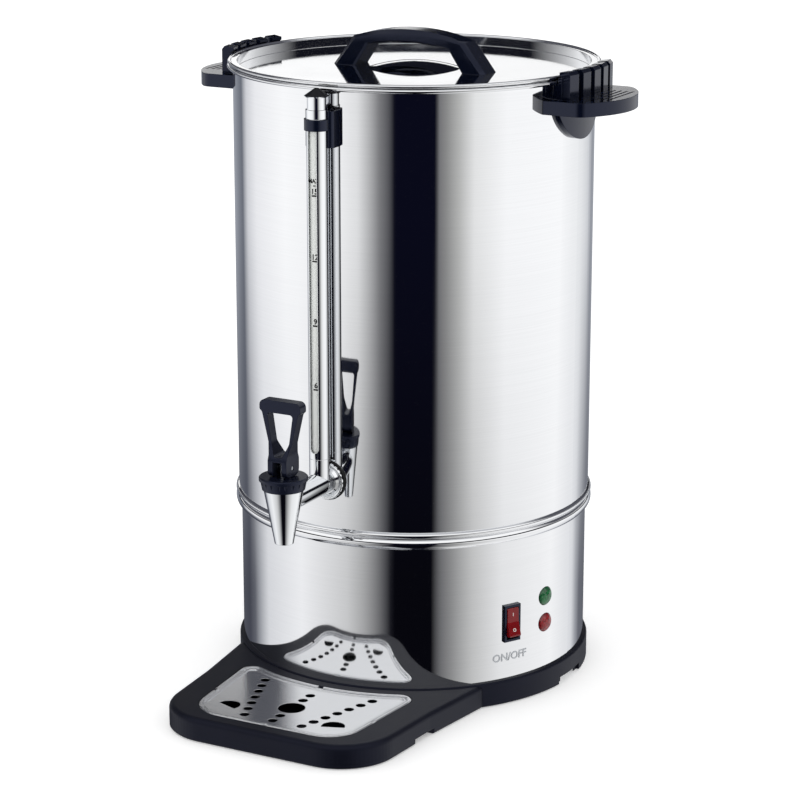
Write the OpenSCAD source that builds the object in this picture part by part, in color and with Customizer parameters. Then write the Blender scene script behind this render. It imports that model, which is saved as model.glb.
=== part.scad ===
// Coffee urn with a sight gauge, a lever tap and a drip tray.
// Sizes are in millimetres. Z is up, the tap faces -Y and the side handles lie along X.
// The origin is on the urn's axis, at the level of the table it stands on.

/* [Vessel] */
// Outside radius of the vessel wall
vessel_r = 142; // [120:1:170]
// Sheet thickness of the vessel wall
vessel_t = 1; // [0.6:0.1:2]
// Height of the top of the vessel's rolled rim
rim_z = 489; // [440:1:560]
// Section radius of the rolled rim
rim_roll = 1.7; // [1:0.1:2.5]
// How far the rolled rim stands out beyond the wall
rim_reach = 4.4; // [3:0.1:6]
// Height of the vessel's floor, inside
floor_z = 156; // [150:1:162]
// Sheet thickness of the floor
floor_t = 1.5; // [1:0.1:3]
// Height of the vessel's lower edge, where the skirt begins
seam_z = 140; // [135:0.5:144]
// Radius of the well in the middle of the floor
well_r = 32; // [24:1:36]
// Depth of that well
well_deep = 5; // [3:0.5:8]

/* [Bead band] */
// Height of the lower bead
bead_low = 8.9; // [7:0.1:11]
// Height of the upper bead
bead_up = 4.7; // [3:0.1:6]
// Part of the upper bead's height and below it that covers the vessel
bead_over = 7.2; // [5.5:0.1:9]
// How far the beads stand out beyond the vessel wall
bead_reach = 2.4; // [1.5:0.1:4]

/* [Skirt and base] */
// How much smaller the skirt's radius is than the vessel's
skirt_in = 2; // [1.5:0.1:4]
// Sheet thickness of the skirt
skirt_t = 0.8; // [0.5:0.1:1.5]
// Height of the base ring's top, where the skirt stands
ring_top = 20; // [18:0.5:24]
// Gap under the base ring, which the feet leave
ring_low = 1; // [0.5:0.5:2]
// How far the base ring stands out beyond the skirt
ring_reach = 3.2; // [2:0.1:6]
// Wall thickness of the base ring
ring_wall = 3; // [2:0.1:4]
// Radius of the base ring's rounded top edge
ring_round = 1.6; // [0.8:0.1:2.5]
// Thickness of the base ring's top flange
ring_flange = 3.5; // [2.5:0.1:4]
// Height of the lip inside the skirt
ring_lip = 6; // [4:0.5:10]
// Width of the lip and of the flange behind it
lip_w = 3.2; // [2:0.1:6]
// Width of the ledge that the base plate screws to
ledge_w = 14; // [12:0.5:20]
// Thickness of that ledge
ledge_t = 3; // [2:0.1:3.5]
// Height of the underside of the base plate
plate_z = 4.5; // [4:0.1:5]
// Thickness of the base plate
plate_t = 1.5; // [1:0.1:2]
// Width of the hand notches under the base ring
notch_w = 38; // [20:1:50]
// Height of the hand notches
notch_h = 5.5; // [3:0.5:7]
// Radius of a rubber foot
foot_r = 9; // [6:0.5:12]
// Distance of the feet from the axis
foot_at = 105; // [85:1:112]

/* [Drip tray] */
// Height of the tray's top
tray_top = 19; // [18:0.5:22]
// How far the tray reaches in front of the vessel wall
tray_reach = 114; // [98:1:124]
// Half width of the tray at its front
tray_front = 92; // [84:0.5:98]
// Half width of the tray in its middle
tray_mid = 100; // [94:0.5:105]
// How far the middle lies behind the front
tray_mid_at = 94; // [80:1:100]
// Half width of the tray where it meets the base ring
tray_back = 111; // [107:0.5:120]
// Radius of the tray's front corners
tray_corner = 45; // [30:1:55]
// Radius of the tray's rounded top edge
tray_round = 4; // [2:0.5:6]
// Gap between the tray and the base ring
tray_gap = 0.4; // [0.3:0.1:1]
// Thickness of the tray's floor
tray_floor = 4; // [3:0.5:6]
// Length of the finger notches under the tray's sides
side_notch_l = 26; // [15:1:35]
// Height of the finger notches
side_notch_h = 5; // [3:0.5:6]
// Width of a tongue that plugs into the base ring
tongue_w = 20; // [12:1:26]
// Thickness of a tongue
tongue_t = 3.2; // [2:0.1:4]
// Length of a tongue past the base ring's outside
tongue_l = 14; // [8:1:18]
// Distance of the tongues from the middle
tongue_at = 60; // [45:1:75]
// Radius of a rubber pad under the tray
pad_r = 6; // [4:0.5:8]

/* [Grille] */
// Sheet thickness of the grille
grille_t = 1; // [0.6:0.1:1.5]
// Height of the grille's raised border above its underside
grille_rim_h = 2.6; // [1.8:0.1:3.5]
// Width of the raised border
grille_rim_w = 5.4; // [4.6:0.2:7]
// Width of the bead along the border's outside
grille_bead = 2.8; // [2:0.2:3.4]
// Width of the groove between that bead and the border's inner ridge
grille_groove = 1.2; // [0.6:0.2:1.4]
// Width of the small notches in the bead
grille_notch = 4.4; // [3:0.2:6]
// Gap all round the grille in the tray
grille_gap = 0.5; // [0.3:0.1:1]
// Depth of the grille's seat below the tray's top
grille_seat = 2.3; // [1.6:0.1:3]
// Distance of the grille's front edge behind the tray's front
grille_in = 14; // [10:0.5:20]
// Gap from the vessel's radius to the grille's curved back edge
grille_back = 11; // [8:0.5:16]
// Half width of the grille at its front
grille_front_w = 67; // [58:0.5:72]
// Half width of the grille at its back
grille_back_w = 74; // [66:0.5:80]
// Radius of the grille's front corners
grille_corner = 28; // [16:1:34]
// Radius of the grille's back corners
grille_round = 10; // [8:0.5:12]
// Radius of a drain hole
drain_r = 3.75; // [2:0.25:5]
// Radius of the large hole under the spout
drain_mid_r = 10.5; // [7:0.5:13]
// Radius of the half-round finger holes
finger_r = 9; // [6:0.5:11]

/* [Lid] */
// Gap between the closed lid's roll and the vessel's rim
lid_gap = 0.3; // [0.2:0.1:1]
// Sheet thickness of the lid
lid_t = 0.8; // [0.5:0.1:1.2]
// Section radius of the lid's rolled edge
lid_roll = 1.5; // [1:0.1:2]
// How far the lid's roll reaches beyond the vessel wall
lid_reach = 4; // [2.5:0.1:5]
// Depth of the lid's flat field below the vessel's rim
lid_sink = 5; // [4:0.5:16]
// Gap between the lid's wall and the vessel's inside
lid_play = 1.5; // [0.8:0.1:3]
// Radius of the raised dome in the middle of the lid
dome_r = 36; // [26:1:42]
// Height of that dome
dome_h = 5.5; // [3:0.5:9]

/* [Lid handle] */
// Half length of the handle over its feet
grip_foot = 67; // [58:0.5:76]
// Half length of the opening between the feet
grip_open = 47; // [38:0.5:52]
// Half length of the handle at its shoulders
grip_shoulder = 49; // [45:0.5:56]
// Half length of the opening under the shoulders
grip_inner = 35; // [30:0.5:43]
// Height of the shoulders above the lid
grip_shoulder_h = 23.5; // [20:0.5:30]
// Height of the grip's top above the lid
grip_h = 31; // [30:0.5:42]
// Thickness of the grip at its middle
grip_t = 10; // [7:0.5:13]
// Thickness of the grip at its shoulders
grip_end_t = 5.5; // [4:0.5:9]
// Width of the handle from front to back
grip_w = 24; // [16:0.5:32]
// Size of the bevels along the handle's edges
grip_bevel = 3.4; // [1:0.2:4]
// Distance of the handle's screws from the middle
grip_screw_at = 56; // [52:0.5:60]

/* [Side handles] */
// Height of the underside of a side handle's plate
side_z = 464; // [415:0.5:465]
// Thickness of the plate
side_t = 10.5; // [7:0.5:13]
// Half width of the plate along the wall
side_w = 48; // [44:1:58]
// How far the plate reaches out from the vessel wall
side_reach = 43; // [42:1:60]
// Radius of the plate's round outer edge
side_curve = 65; // [60:1:90]
// Radius of the plate's outer corners
side_round = 11; // [4:0.5:14]
// Thickness of the block that is screwed to the wall
side_block = 8.5; // [7:0.5:12]
// Half angle of that block round the wall
side_angle = 15.2; // [14.5:0.2:18]
// Radius of the round tongue under the plate
apron_r = 39; // [30:0.5:48]
// How far the round tongue hangs below the plate
apron_drop = 24; // [10:0.5:28]
// Thickness of the round tongue
apron_t = 4.2; // [3:0.1:6]
// Angle between two teeth of the comb
tooth_pitch = 6.3; // [5.5:0.1:7]
// Width of a tooth
tooth_w = 11; // [7:0.5:12]
// How far the teeth reach out from the vessel wall
tooth_reach = 15; // [12:0.5:18]
// Height of the teeth above the vessel's rim
tooth_over = 7; // [4:0.5:10]
// Gap between the teeth's hooks and the lid's roll
hook_gap = 1.1; // [0.6:0.1:2]
// Depth of the grip grooves on the plate
groove_deep = 0.8; // [0.4:0.1:1.5]

/* [Tap] */
// Height of the tap's horizontal axis
tap_z = 185; // [178:0.5:190]
// Distance of the valve's axis from the vessel wall
valve_off = 66; // [52:0.5:72]
// Radius of the tap's shank
shank_r = 9; // [7.5:0.25:10]
// Radius of the bore through the shank
shank_bore = 5.5; // [3.5:0.25:6]
// Length of the shank inside the vessel, from its wall's outside
shank_in = 16; // [14:0.5:22]
// Radius of the round nut on the outside of the vessel
flange_r = 15.2; // [14.5:0.1:18]
// Thickness of that nut
flange_t = 3.8; // [3.2:0.1:5]
// Radius of the round bead along that nut's edge
flange_bead = 1.5; // [1.2:0.1:1.6]
// How far the outer washer shows beyond that nut
washer_lip = 0.6; // [0.5:0.1:2]
// Play between that nut and the gauge's socket
flange_gap = 0.2; // [0.1:0.05:0.5]
// Thickness of the outer washer at its thinnest
washer_out = 1; // [0.8:0.1:1.1]
// Thickness of the inner washer at its thinnest
washer_in = 2; // [1:0.1:3]
// Width across the flats of the inside nut
nut_af = 27; // [24:0.5:32]
// Thickness of the inside nut
nut_t = 8; // [5:0.5:9]
// Height of the spout's mouth below the tap's axis
spout_drop = 31.5; // [26:0.5:36]
// Height of the spout cone's top above the tap's axis
cone_rise = 11; // [10:0.5:14]
// Outside radius of the spout's mouth
spout_r = 7.2; // [6.5:0.1:9]
// Outside radius of the spout cone's top
cone_r = 15.2; // [14:0.1:16]
// Wall thickness of the spout cone
cone_wall = 2.7; // [2:0.1:3]
// Radius of the spout's outlet
outlet_r = 4.5; // [3:0.1:5]
// Length of the outlet below the valve seat
outlet_l = 8; // [5:0.5:10]
// Radius of the neck that the bonnet screws onto
neck_r = 12; // [10.5:0.1:12.5]
// Height of that neck
neck_h = 5.5; // [4:0.1:6.5]
// Height of the bonnet
bonnet_h = 10; // [9:0.5:12]
// Radius of the bonnet's top
bonnet_r = 18.5; // [17:0.25:20]
// Thickness of the bonnet's top disc
bonnet_disc = 3; // [2:0.1:3.4]
// Radius of the bonnet's ribbed foot
bonnet_foot = 16.2; // [16:0.1:17]
// Number of ribs round the bonnet
bonnet_ribs = 20; // [12:1:28]
// Radius of the stem
stem_r = 3; // [2.5:0.1:3.2]
// Gap round the stem in the bonnet
stem_gap = 0.4; // [0.3:0.05:0.6]
// Gap between the closed seat cup and its seat
seat_gap = 0.3; // [0.2:0.05:0.5]
// Height of the seat cup
cup_h = 12; // [8:0.5:14]
// Gap between the lever's heel and the bonnet
heel_gap = 0.3; // [0.2:0.05:0.5]
// Radius of the lever's rounded heel
heel_r = 5.2; // [4.5:0.1:6]
// Distance of the heel's centres from the pin, front and back
heel_off = 4.2; // [3:0.1:4.2]
// Height of the pin above the heel
pin_h = 6.5; // [6:0.1:8]
// Radius of the pin
pin_r = 1.5; // [1:0.1:1.8]
// Gap round the pin in the lever
pin_gap = 0.35; // [0.2:0.05:0.5]
// Width of the lever's yoke
yoke_w = 16; // [14:0.5:20]
// Width of the slot in the yoke
yoke_slot = 7.6; // [7:0.1:9]
// Height of the yoke
yoke_h = 16; // [14:0.5:18]
// Height of the lever above the bonnet
lever_h = 58; // [50:0.5:64]
// Width of the lever's top bar
lever_w = 35; // [32:0.5:42]
// Thickness of the lever's loop
lever_t = 8.5; // [7:0.5:12]
// Width of the top bar of the loop
lever_bar = 9.5; // [7:0.5:11]
// Width of the loop's hole at its top
loop_w = 22; // [16:0.5:22.5]
// Width of the loop's legs at their top
leg_w = 4.4; // [3.5:0.1:5]

/* [Sight gauge] */
// Distance of the gauge's axis from the vessel wall
gauge_off = 12; // [11.9:0.1:15]
// Outside radius of the slotted shield
shield_r = 8; // [7.5:0.1:8]
// Wall thickness of the shield
shield_t = 1; // [0.6:0.1:1.2]
// Height of the shield's lower end above the tap's axis
shield_rise = 21; // [19:0.5:24]
// Height of the shield's top
shield_top = 466.5; // [415:0.5:472]
// Width of the slot in the shield
slot_w = 7; // [4:0.5:9]
// Distance of the slot's lower end above the shield's lower end
slot_up = 5; // [4:0.5:10]
// Distance of the slot's upper end below the shield's top
slot_down = 9; // [8.8:0.2:14]
// Outside radius of the glass tube
glass_r = 6; // [5:0.1:6.2]
// Wall thickness of the glass tube
glass_t = 1.2; // [0.8:0.1:2]
// Depth of the glass tube's socket in the tap
socket_deep = 6.5; // [5:0.5:8]
// Height of the chrome ferrule on top of the shield
ferrule_h = 6.6; // [5:0.2:9]
// Radius of the cap's neck
cap_neck_r = 7.2; // [5:0.1:7.5]
// Height of the cap's neck
cap_neck_h = 9.4; // [6:0.2:11]
// Radius of the cap's cone
cap_r = 9.2; // [8:0.1:9.4]
// Height of the cap's cone
cap_h = 6.5; // [5:0.25:8]
// Height of the black band round the shield
band_h = 8.5; // [6:0.5:10]
// Wall thickness of the band
band_t = 1.5; // [1:0.1:2.5]
// Width of the bracket behind the shield
bracket_w = 24; // [20:0.5:28]
// Radius of the bracket's upright corners
bracket_round = 3.5; // [1:0.5:5]
// How far the bracket hangs below the shield's top
bracket_drop = 22; // [18:0.5:28]
// How far the bracket stands above the shield's top
bracket_over = 5.5; // [2:0.5:6]

/* [Switch and lamps] */
// Angle of the switch from the front
switch_a = 60.9; // [50:0.1:66]
// Height of the switch's middle
switch_z = 66; // [56:0.5:79]
// Width of the switch's bezel
bezel_w = 15; // [14.5:0.1:19]
// Height of the switch's bezel
bezel_h = 30; // [29.5:0.1:34]
// Thickness of the bezel
bezel_t = 2.2; // [1.5:0.1:3]
// Width of the switch's body behind the skirt
box_w = 13; // [12.8:0.1:14]
// Height of the switch's body
box_h = 27.6; // [27:0.1:29]
// Depth of the switch's body behind the skirt
box_d = 24; // [18:0.5:30]
// Width of the rocker
rocker_w = 10.4; // [9:0.1:10.6]
// Gap at each side of the rocker
rocker_gap = 0.4; // [0.3:0.05:0.5]
// Half height of the rocker
rocker_half = 11.5; // [10:0.1:11.6]
// Tilt of the rocker in either position
rocker_tilt = 10; // [6:0.5:12]
// How far the rocker's ends stand out from its hinge
rocker_out = 7.6; // [5.6:0.1:8]
// Radius of the rocker's two pivot pins
pivot_r = 1.2; // [0.8:0.1:2]
// Play of the pivot pins in the housing
pivot_gap = 0.2; // [0.1:0.05:0.4]
// Angle of the lamps from the front
lamp_a = 75.8; // [72:0.1:84]
// Height of the green lamp
green_z = 79.7; // [75:0.1:89]
// Height of the red lamp
red_z = 57.7; // [48:0.1:61]
// Radius of a lamp's lens
lens_r = 7.8; // [6:0.1:8]
// How far a lens stands out from the skirt
lens_h = 3.6; // [2:0.1:5]
// Radius of a lamp's threaded barrel
barrel_r = 4.8; // [4:0.1:5]
// Length of a lamp's barrel behind the skirt
barrel_l = 22; // [14:0.5:28]

/* [Percolator] */
// Outside radius of the riser tube
tube_r = 6; // [5:0.1:7]
// Wall thickness of the riser tube
tube_t = 1; // [0.6:0.1:1.5]
// Height of the riser tube's top above the floor
tube_h = 301; // [287:1:307]
// Radius of the pump foot's wide end
foot_cone_r = 28; // [20:0.5:28]
// Height of the pump foot
foot_cone_h = 24; // [16:0.5:30]
// Radius of the coffee basket
basket_r = 96; // [80:1:110]
// Height of the coffee basket
basket_h = 80; // [60:1:90]
// Height of the basket's floor above the vessel's floor
basket_up = 184; // [175:1:190]
// Sheet thickness of the basket
basket_t = 0.8; // [0.5:0.1:1.2]
// Gap between the basket's sleeve and the riser tube
sleeve_gap = 0.4; // [0.2:0.1:1]

/* [Heater and wiring] */
// Outside radius of the heater plate
heat_r = 78; // [70:1:90]
// Thickness of the heater plate
heat_t = 6; // [4:0.5:8]
// Radius of the heating element's ring
coil_r = 57; // [48:0.5:64]
// Section radius of the heating element
coil_rod = 4; // [3:0.1:5]
// Distance of the tie bolts from the axis
tie_at = 116; // [112:0.5:118]
// Radius of a tie bolt
tie_r = 3; // [2:0.1:4]
// Height of the heat shield
shield_z = 100; // [94:0.5:110]
// Radius of the heat shield
shield_disc = 126; // [122:0.5:132]
// Height of the cord gland's axis
gland_z = 45; // [38:0.5:60]
// Radius of the cord gland's thread
gland_r = 7.8; // [6:0.1:10]
// Radius of the bore for the cord
gland_bore = 4; // [3:0.1:5]
// How far the gland stands out from the skirt
gland_out = 18; // [14:0.5:24]

/* [Hidden] */
$fn = 96;
inner_r = vessel_r - vessel_t;
skirt_r = vessel_r - skirt_in;
skirt_inner = skirt_r - skirt_t;
ring_r = skirt_r + ring_reach;
ring_inner = ring_r - ring_wall;
lip_in = skirt_inner - lip_w;
ledge_in = ring_inner - ledge_w;
plate_top = plate_z + plate_t;
plate_r = ring_inner - 0.6;
screw_at = ledge_in + 5;
screw_r = 2;
bolt_slack = 0.2;
tray_y = vessel_r + tray_reach;
tray_cut = ring_r + tray_gap;
tray_back_at = 84;
tongue_z = plate_top + ledge_t + 1.5;
seat_z = tray_top - grille_seat;
grille_z = seat_z + 0.3;
grille_y = tray_y - grille_in;
grille_r = vessel_r + grille_back;
grille_notch_y = (grille_r + grille_y) / 2;
grille_p = [grille_back_w + 4, -vessel_r + 20];
grille_slant = (grille_p[0] - grille_front_w) / (grille_y + grille_p[1]);
grille_notch_x = grille_front_w + grille_slant * (grille_y - grille_notch_y);
grille_u = unit([grille_front_w, -grille_y] - grille_p);
grille_n = [grille_u[1], -grille_u[0]];
grille_b = grille_p + grille_n * grille_round;
grille_s = grille_b * grille_u;
grille_far = grille_r + grille_round;
grille_run = sqrt(grille_s * grille_s - grille_b * grille_b + grille_far * grille_far) - grille_s;
grille_turn = grille_b + grille_u * grille_run;
lid_z = rim_z - lid_sink;
lid_r = vessel_r + lid_reach;
lid_wall = inner_r - lid_play;
lid_roll_z = rim_z + lid_gap + lid_roll;
dome_ball = (dome_r * dome_r + dome_h * dome_h) / (2 * dome_h);
grip_screw_r = 1.9;
valve_y = -(vessel_r + valve_off);
gauge_y = -(vessel_r + gauge_off);
spout_z = tap_z - spout_drop;
cone_z = tap_z + cone_rise;
bonnet_top = cone_z + bonnet_h;
seat_at = spout_z + outlet_l;
cone_slope = (cone_r - spout_r) / (cone_z - spout_z);
seat_r = spout_r + cone_slope * outlet_l - cone_wall;
pin_z = bonnet_top + heel_gap + pin_h;
stem_top = pin_z + pin_r + 2.2;
cup_z = seat_at + seat_gap;
shield_low = tap_z + shield_rise;
socket_z = shield_low - socket_deep;
shield_in = shield_r - shield_t;
slot_top = shield_top - slot_down;
slot_low = shield_low + slot_up + slot_w / 2;
cap_z = shield_top + ferrule_h;
bracket_low = shield_top - bracket_drop;
bracket_screw_z = bracket_low + 6;
cut_w = box_w + 0.3;
cut_h = box_h + 0.4;
bezel_x = sqrt(skirt_r * skirt_r - cut_w * cut_w / 4);
lens_x = sqrt(skirt_r * skirt_r - (barrel_r + 0.2) * (barrel_r + 0.2));
hinge_x = bezel_x - 3;
pocket_w = rocker_w + 2 * rocker_gap;
pocket_h = 2 * rocker_half + 3;
well_z = floor_z - well_deep;
tube_top = floor_z + tube_h;
foot_cone_z = well_z + 0.5;
basket_z = floor_z + basket_up;
sleeve_r = tube_r + sleeve_gap;
heat_top = floor_z - floor_t;
heat_low = heat_top - heat_t;
tooth_top = rim_z + tooth_over;
side_top = side_z + side_t;
block_top = rim_z - 2 * rim_roll - 0.4;
hook_r = lid_r + hook_gap;

// Turns +X to the direction that lies at angle a from the front, towards +X.
module at(a) {
    rotate([0, 0, a - 90])
        children();
}

// A round bar along the local X axis.
module bar(x0, x1, r) {
    translate([x0, 0, 0])
        rotate([0, 90, 0])
            cylinder(r = r, h = x1 - x0);
}

// A hexagon bar along Z, given its width across the flats.
module hexagon(af, h) {
    cylinder(r = af / sqrt(3), h = h, $fn = 6);
}

// A box given by its low and high corners.
module block(lo, hi) {
    translate(lo)
        cube(hi - lo);
}

function unit(v) = v / norm(v);
function wrap(a) = a > 180 ? a - 360 : a < -180 ? a + 360 : a;

// One rounded corner of an outline, as n + 1 points.
function corner(a, b, c, r, n) =
    let (u = unit(a - b))
    let (v = unit(c - b))
    let (h = acos(u * v) / 2)
    let (m = b + unit(u + v) * r / sin(h))
    let (s = b + u * r / tan(h) - m)
    let (e = b + v * r / tan(h) - m)
    let (a0 = atan2(s[1], s[0]))
    let (da = wrap(atan2(e[1], e[0]) - a0))
    [for (i = [0 : n]) m + r * [cos(a0 + da * i / n), sin(a0 + da * i / n)]];

// A closed outline with each corner rounded to its own radius.
function soft(p, r, n) =
    let (k = len(p))
    [for (i = [0 : k - 1]) each corner(p[(i + k - 1) % k], p[i], p[(i + 1) % k], r[i], n)];

// A solid through outlines with the same number of points. Point i mirrors point n - 1 - i.
module skin(rings) {
    n = len(rings[0]);
    m = len(rings);
    t = (m - 1) * n;
    sides = [for (k = [0 : m - 2]) for (i = [0 : n - 1]) each [
        [k * n + i, (k + 1) * n + (i + 1) % n, k * n + (i + 1) % n],
        [k * n + i, (k + 1) * n + i, (k + 1) * n + (i + 1) % n]
    ]];
    low = [for (i = [0 : n / 2 - 2]) each [[i, i + 1, n - 2 - i], [i, n - 2 - i, n - 1 - i]]];
    high = [for (f = low) [t + f[2], t + f[1], t + f[0]]];
    polyhedron(points = [for (r = rings) each r], faces = concat(sides, low, high));
}

// Base

module base_ring() {
    color("#17181c")
        difference() {
            rotate_extrude() {
                translate([ring_inner, ring_low])
                    square([ring_wall, ring_top - ring_round - ring_low]);
                translate([ring_r - ring_round, ring_top - ring_round])
                    circle(ring_round);
                translate([lip_in, ring_top - ring_flange])
                    square([ring_r - ring_round - lip_in, ring_flange]);
                translate([lip_in, ring_top - 1])
                    square([lip_w, ring_lip + 1]);
                translate([ledge_in, plate_top])
                    square([ledge_w + 1, ledge_t]);
            }
            for (s = [-1, 1]) {
                translate([s * ring_r, 0, ring_low])
                    cube([2 * ring_wall + 1, notch_w, 2 * notch_h], center = true);
                translate([s * tongue_at, -ring_r, tongue_z + tongue_t / 2])
                    cube([tongue_w + 2 * tray_gap, 60, tongue_t + 2 * tray_gap], center = true);
            }
            for (a = [10 : 90 : 280])
                at(a)
                    translate([screw_at, 0, plate_z])
                        cylinder(r = screw_r, h = 20);
        }
}

module base_plate() {
    color("#9a9ca0")
        difference() {
            translate([0, 0, plate_z])
                cylinder(r = plate_r, h = plate_t);
            for (a = [10 : 90 : 280])
                at(a)
                    translate([screw_at, 0, 0])
                        cylinder(r = screw_r + bolt_slack, h = 20);
            for (a = [0 : 120 : 240])
                at(a)
                    translate([tie_at, 0, 0])
                        cylinder(r = tie_r + bolt_slack, h = 20);
            for (a = [0 : 30 : 330])
                at(a)
                    translate([70, 0, 0])
                        cylinder(r = 4, h = 20);
        }
}

module base_feet() {
    color("#101113")
        for (a = [45 : 90 : 315])
            at(a)
                translate([foot_at, 0, 0])
                    cylinder(r1 = foot_r - 1, r2 = foot_r, h = plate_z);
}

module base_screws() {
    color("#b9bcc0")
        for (a = [10 : 90 : 280])
            at(a)
                translate([screw_at, 0, 0]) {
                    translate([0, 0, plate_z - 2])
                        cylinder(r = 4, h = 2);
                    translate([0, 0, plate_z - 1])
                        cylinder(r = screw_r, h = plate_t + ledge_t + 1);
                }
}

module skirt() {
    color("#c9cbce")
        difference() {
            translate([0, 0, ring_top])
                cylinder(r = skirt_r, h = seam_z - ring_top);
            translate([0, 0, ring_top - 1])
                cylinder(r = skirt_inner, h = seam_z - ring_top + 2);
            at(switch_a)
                translate([skirt_r, 0, switch_z])
                    cube([20, cut_w, cut_h], center = true);
            for (z = [green_z, red_z])
                at(lamp_a)
                    translate([skirt_r - 10, 0, z])
                        bar(0, 20, barrel_r + 0.2);
            at(180)
                translate([skirt_r - 10, 0, gland_z])
                    bar(0, 20, gland_r + bolt_slack);
        }
}

module bead_band() {
    up_z = seam_z + bead_over - bead_up;
    low_z = up_z - bead_low;
    out_r = vessel_r + bead_reach;
    up_ball = (bead_up * bead_up / 4 + 4) / 4;
    low_ball = (bead_low * bead_low / 4 + 5.76) / 4.8;
    color("#d2d4d6")
        difference() {
            rotate_extrude() {
                intersection() {
                    translate([out_r - up_ball, up_z + bead_up / 2])
                        circle(up_ball);
                    translate([skirt_r, up_z])
                        square([bead_reach + skirt_in + 1, bead_up]);
                }
                intersection() {
                    translate([out_r - low_ball, low_z + bead_low / 2])
                        circle(low_ball);
                    translate([skirt_r, low_z])
                        square([bead_reach + skirt_in + 1, bead_low]);
                }
                translate([skirt_r, low_z])
                    square([out_r - skirt_r - 2, bead_low + bead_up]);
            }
            translate([0, 0, seam_z])
                cylinder(r = vessel_r, h = 40);
            translate([0, 0, seam_z - 40])
                cylinder(r = skirt_r, h = 60);
        }
}

// Vessel

module vessel_wall() {
    color("#d6d8da")
        difference() {
            rotate_extrude() {
                translate([inner_r, seam_z])
                    square([vessel_t, rim_z - rim_roll - seam_z]);
                translate([inner_r, rim_z - rim_roll - 0.5])
                    square([vessel_t + rim_reach - rim_roll, 1]);
                translate([vessel_r + rim_reach - rim_roll, rim_z - rim_roll])
                    circle(rim_roll);
            }
            at(0)
                translate([0, 0, tap_z])
                    bar(inner_r - 10, vessel_r + 10, shank_r + bolt_slack);
            at(0)
                translate([0, 0, bracket_screw_z])
                    bar(inner_r - 10, vessel_r + 3, screw_r + bolt_slack);
            handle_screw_spots()
                bar(inner_r - 10, vessel_r + 3, screw_r + bolt_slack);
        }
}

module vessel_floor() {
    color("#c4c6c9")
        rotate_extrude()
            polygon([
                [0, well_z - floor_t],
                [well_r + floor_t, well_z - floor_t],
                [well_r + floor_t, heat_top],
                [inner_r - 1, heat_top],
                [inner_r - 1, seam_z + 2],
                [inner_r, seam_z + 2],
                [inner_r, floor_z],
                [well_r, floor_z],
                [well_r, well_z],
                [0, well_z]
            ]);
}

// Side handles

module handle_screw_spots() {
    for (a = [81, 99, 261, 279])
        at(a)
            translate([0, 0, side_top + 3.4])
                children();
}

// The plate seen from above: a strip that ends in a wide arc, with round corners.
module plate_outline() {
    mid_x = vessel_r + side_reach - side_curve;
    turn_y = side_w - side_round;
    turn_x = mid_x + sqrt(pow(side_curve - side_round, 2) - turn_y * turn_y);
    away = unit([turn_x - mid_x, turn_y]) * 40;
    difference() {
        intersection() {
            translate([mid_x, 0])
                circle(side_curve);
            translate([100, -side_w])
                square([side_reach + 60, 2 * side_w]);
        }
        for (s = [-1, 1])
            polygon([
                [turn_x, s * turn_y],
                [turn_x, s * (turn_y + 40)],
                [turn_x + away[0], s * (turn_y + 40)],
                [turn_x + away[0], s * (turn_y + away[1])]
            ]);
    }
    for (s = [-1, 1])
        translate([turn_x, s * turn_y])
            circle(side_round);
}

// The handle on the +X side.
module side_handle() {
    difference() {
        union() {
            intersection() {
                translate([0, 0, side_z])
                    cylinder(r = vessel_r + side_block, h = block_top - side_z);
                linear_extrude(rim_z)
                    polygon([
                        [0, 0],
                        [240, -240 * tan(side_angle)],
                        [240, 240 * tan(side_angle)]
                    ]);
            }
            intersection() {
                difference() {
                    translate([0, 0, side_z])
                        cylinder(r = vessel_r + side_block, h = rim_z + 2 - side_z);
                    translate([0, 0, side_z - 1])
                        cylinder(r = hook_r, h = rim_z);
                }
                linear_extrude(rim_z + 10)
                    polygon([
                        [0, 0],
                        [240, -240 * tan(side_angle)],
                        [240, 240 * tan(side_angle)]
                    ]);
            }
            translate([0, 0, side_z])
                linear_extrude(side_t)
                    plate_outline();
            intersection() {
                cylinder(r = vessel_r + apron_t, h = rim_z);
                translate([0, 0, side_z + apron_r - apron_drop])
                    bar(100, vessel_r + 20, apron_r);
                block([100, -apron_r, 0], [vessel_r + 20, apron_r, side_z + 1]);
            }
            for (i = [-2 : 2])
                rotate([0, 0, i * tooth_pitch])
                    comb_tooth();
        }
        translate([0, 0, side_z - 40])
            cylinder(r = vessel_r, h = block_top + 60);
        translate([0, 0, block_top])
            cylinder(r = hook_r, h = 60);
        for (k = [0 : 3])
            translate([vessel_r + side_reach - 9 - 5 * k, 0, side_top])
                cube([1.6, 50, 2 * groove_deep], center = true);
        for (a = [-9, 9])
            rotate([0, 0, a])
                translate([0, 0, side_top + 3.4])
                    bar(vessel_r - 5, vessel_r + side_block - 1.5, screw_r);
    }
}

// One tooth of the comb, with its hook turned in over the rim.
module comb_tooth() {
    out = vessel_r + tooth_reach;
    translate([0, tooth_w / 2, 0])
        rotate([90, 0, 0])
            linear_extrude(tooth_w)
                polygon([
                    [vessel_r + side_block - 2, side_top - 2],
                    [out, side_top - 2],
                    [out, tooth_top - 2.5],
                    [out - 2, tooth_top],
                    [hook_r, tooth_top - 1],
                    [hook_r, tooth_top - 3.5],
                    [hook_r + 2.4, tooth_top - 5],
                    [hook_r + 2.4, side_top]
                ]);
}

module handle_right() {
    color("#14151a")
        side_handle();
}

module handle_left() {
    color("#14151a")
        rotate([0, 0, 180])
            side_handle();
}

module handle_screws() {
    color("#b9bcc0")
        handle_screw_spots() {
            bar(inner_r - 2.4, inner_r - 0.1, 4);
            bar(inner_r - 1, vessel_r + side_block - 1.5, screw_r);
        }
}

// Tap

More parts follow.
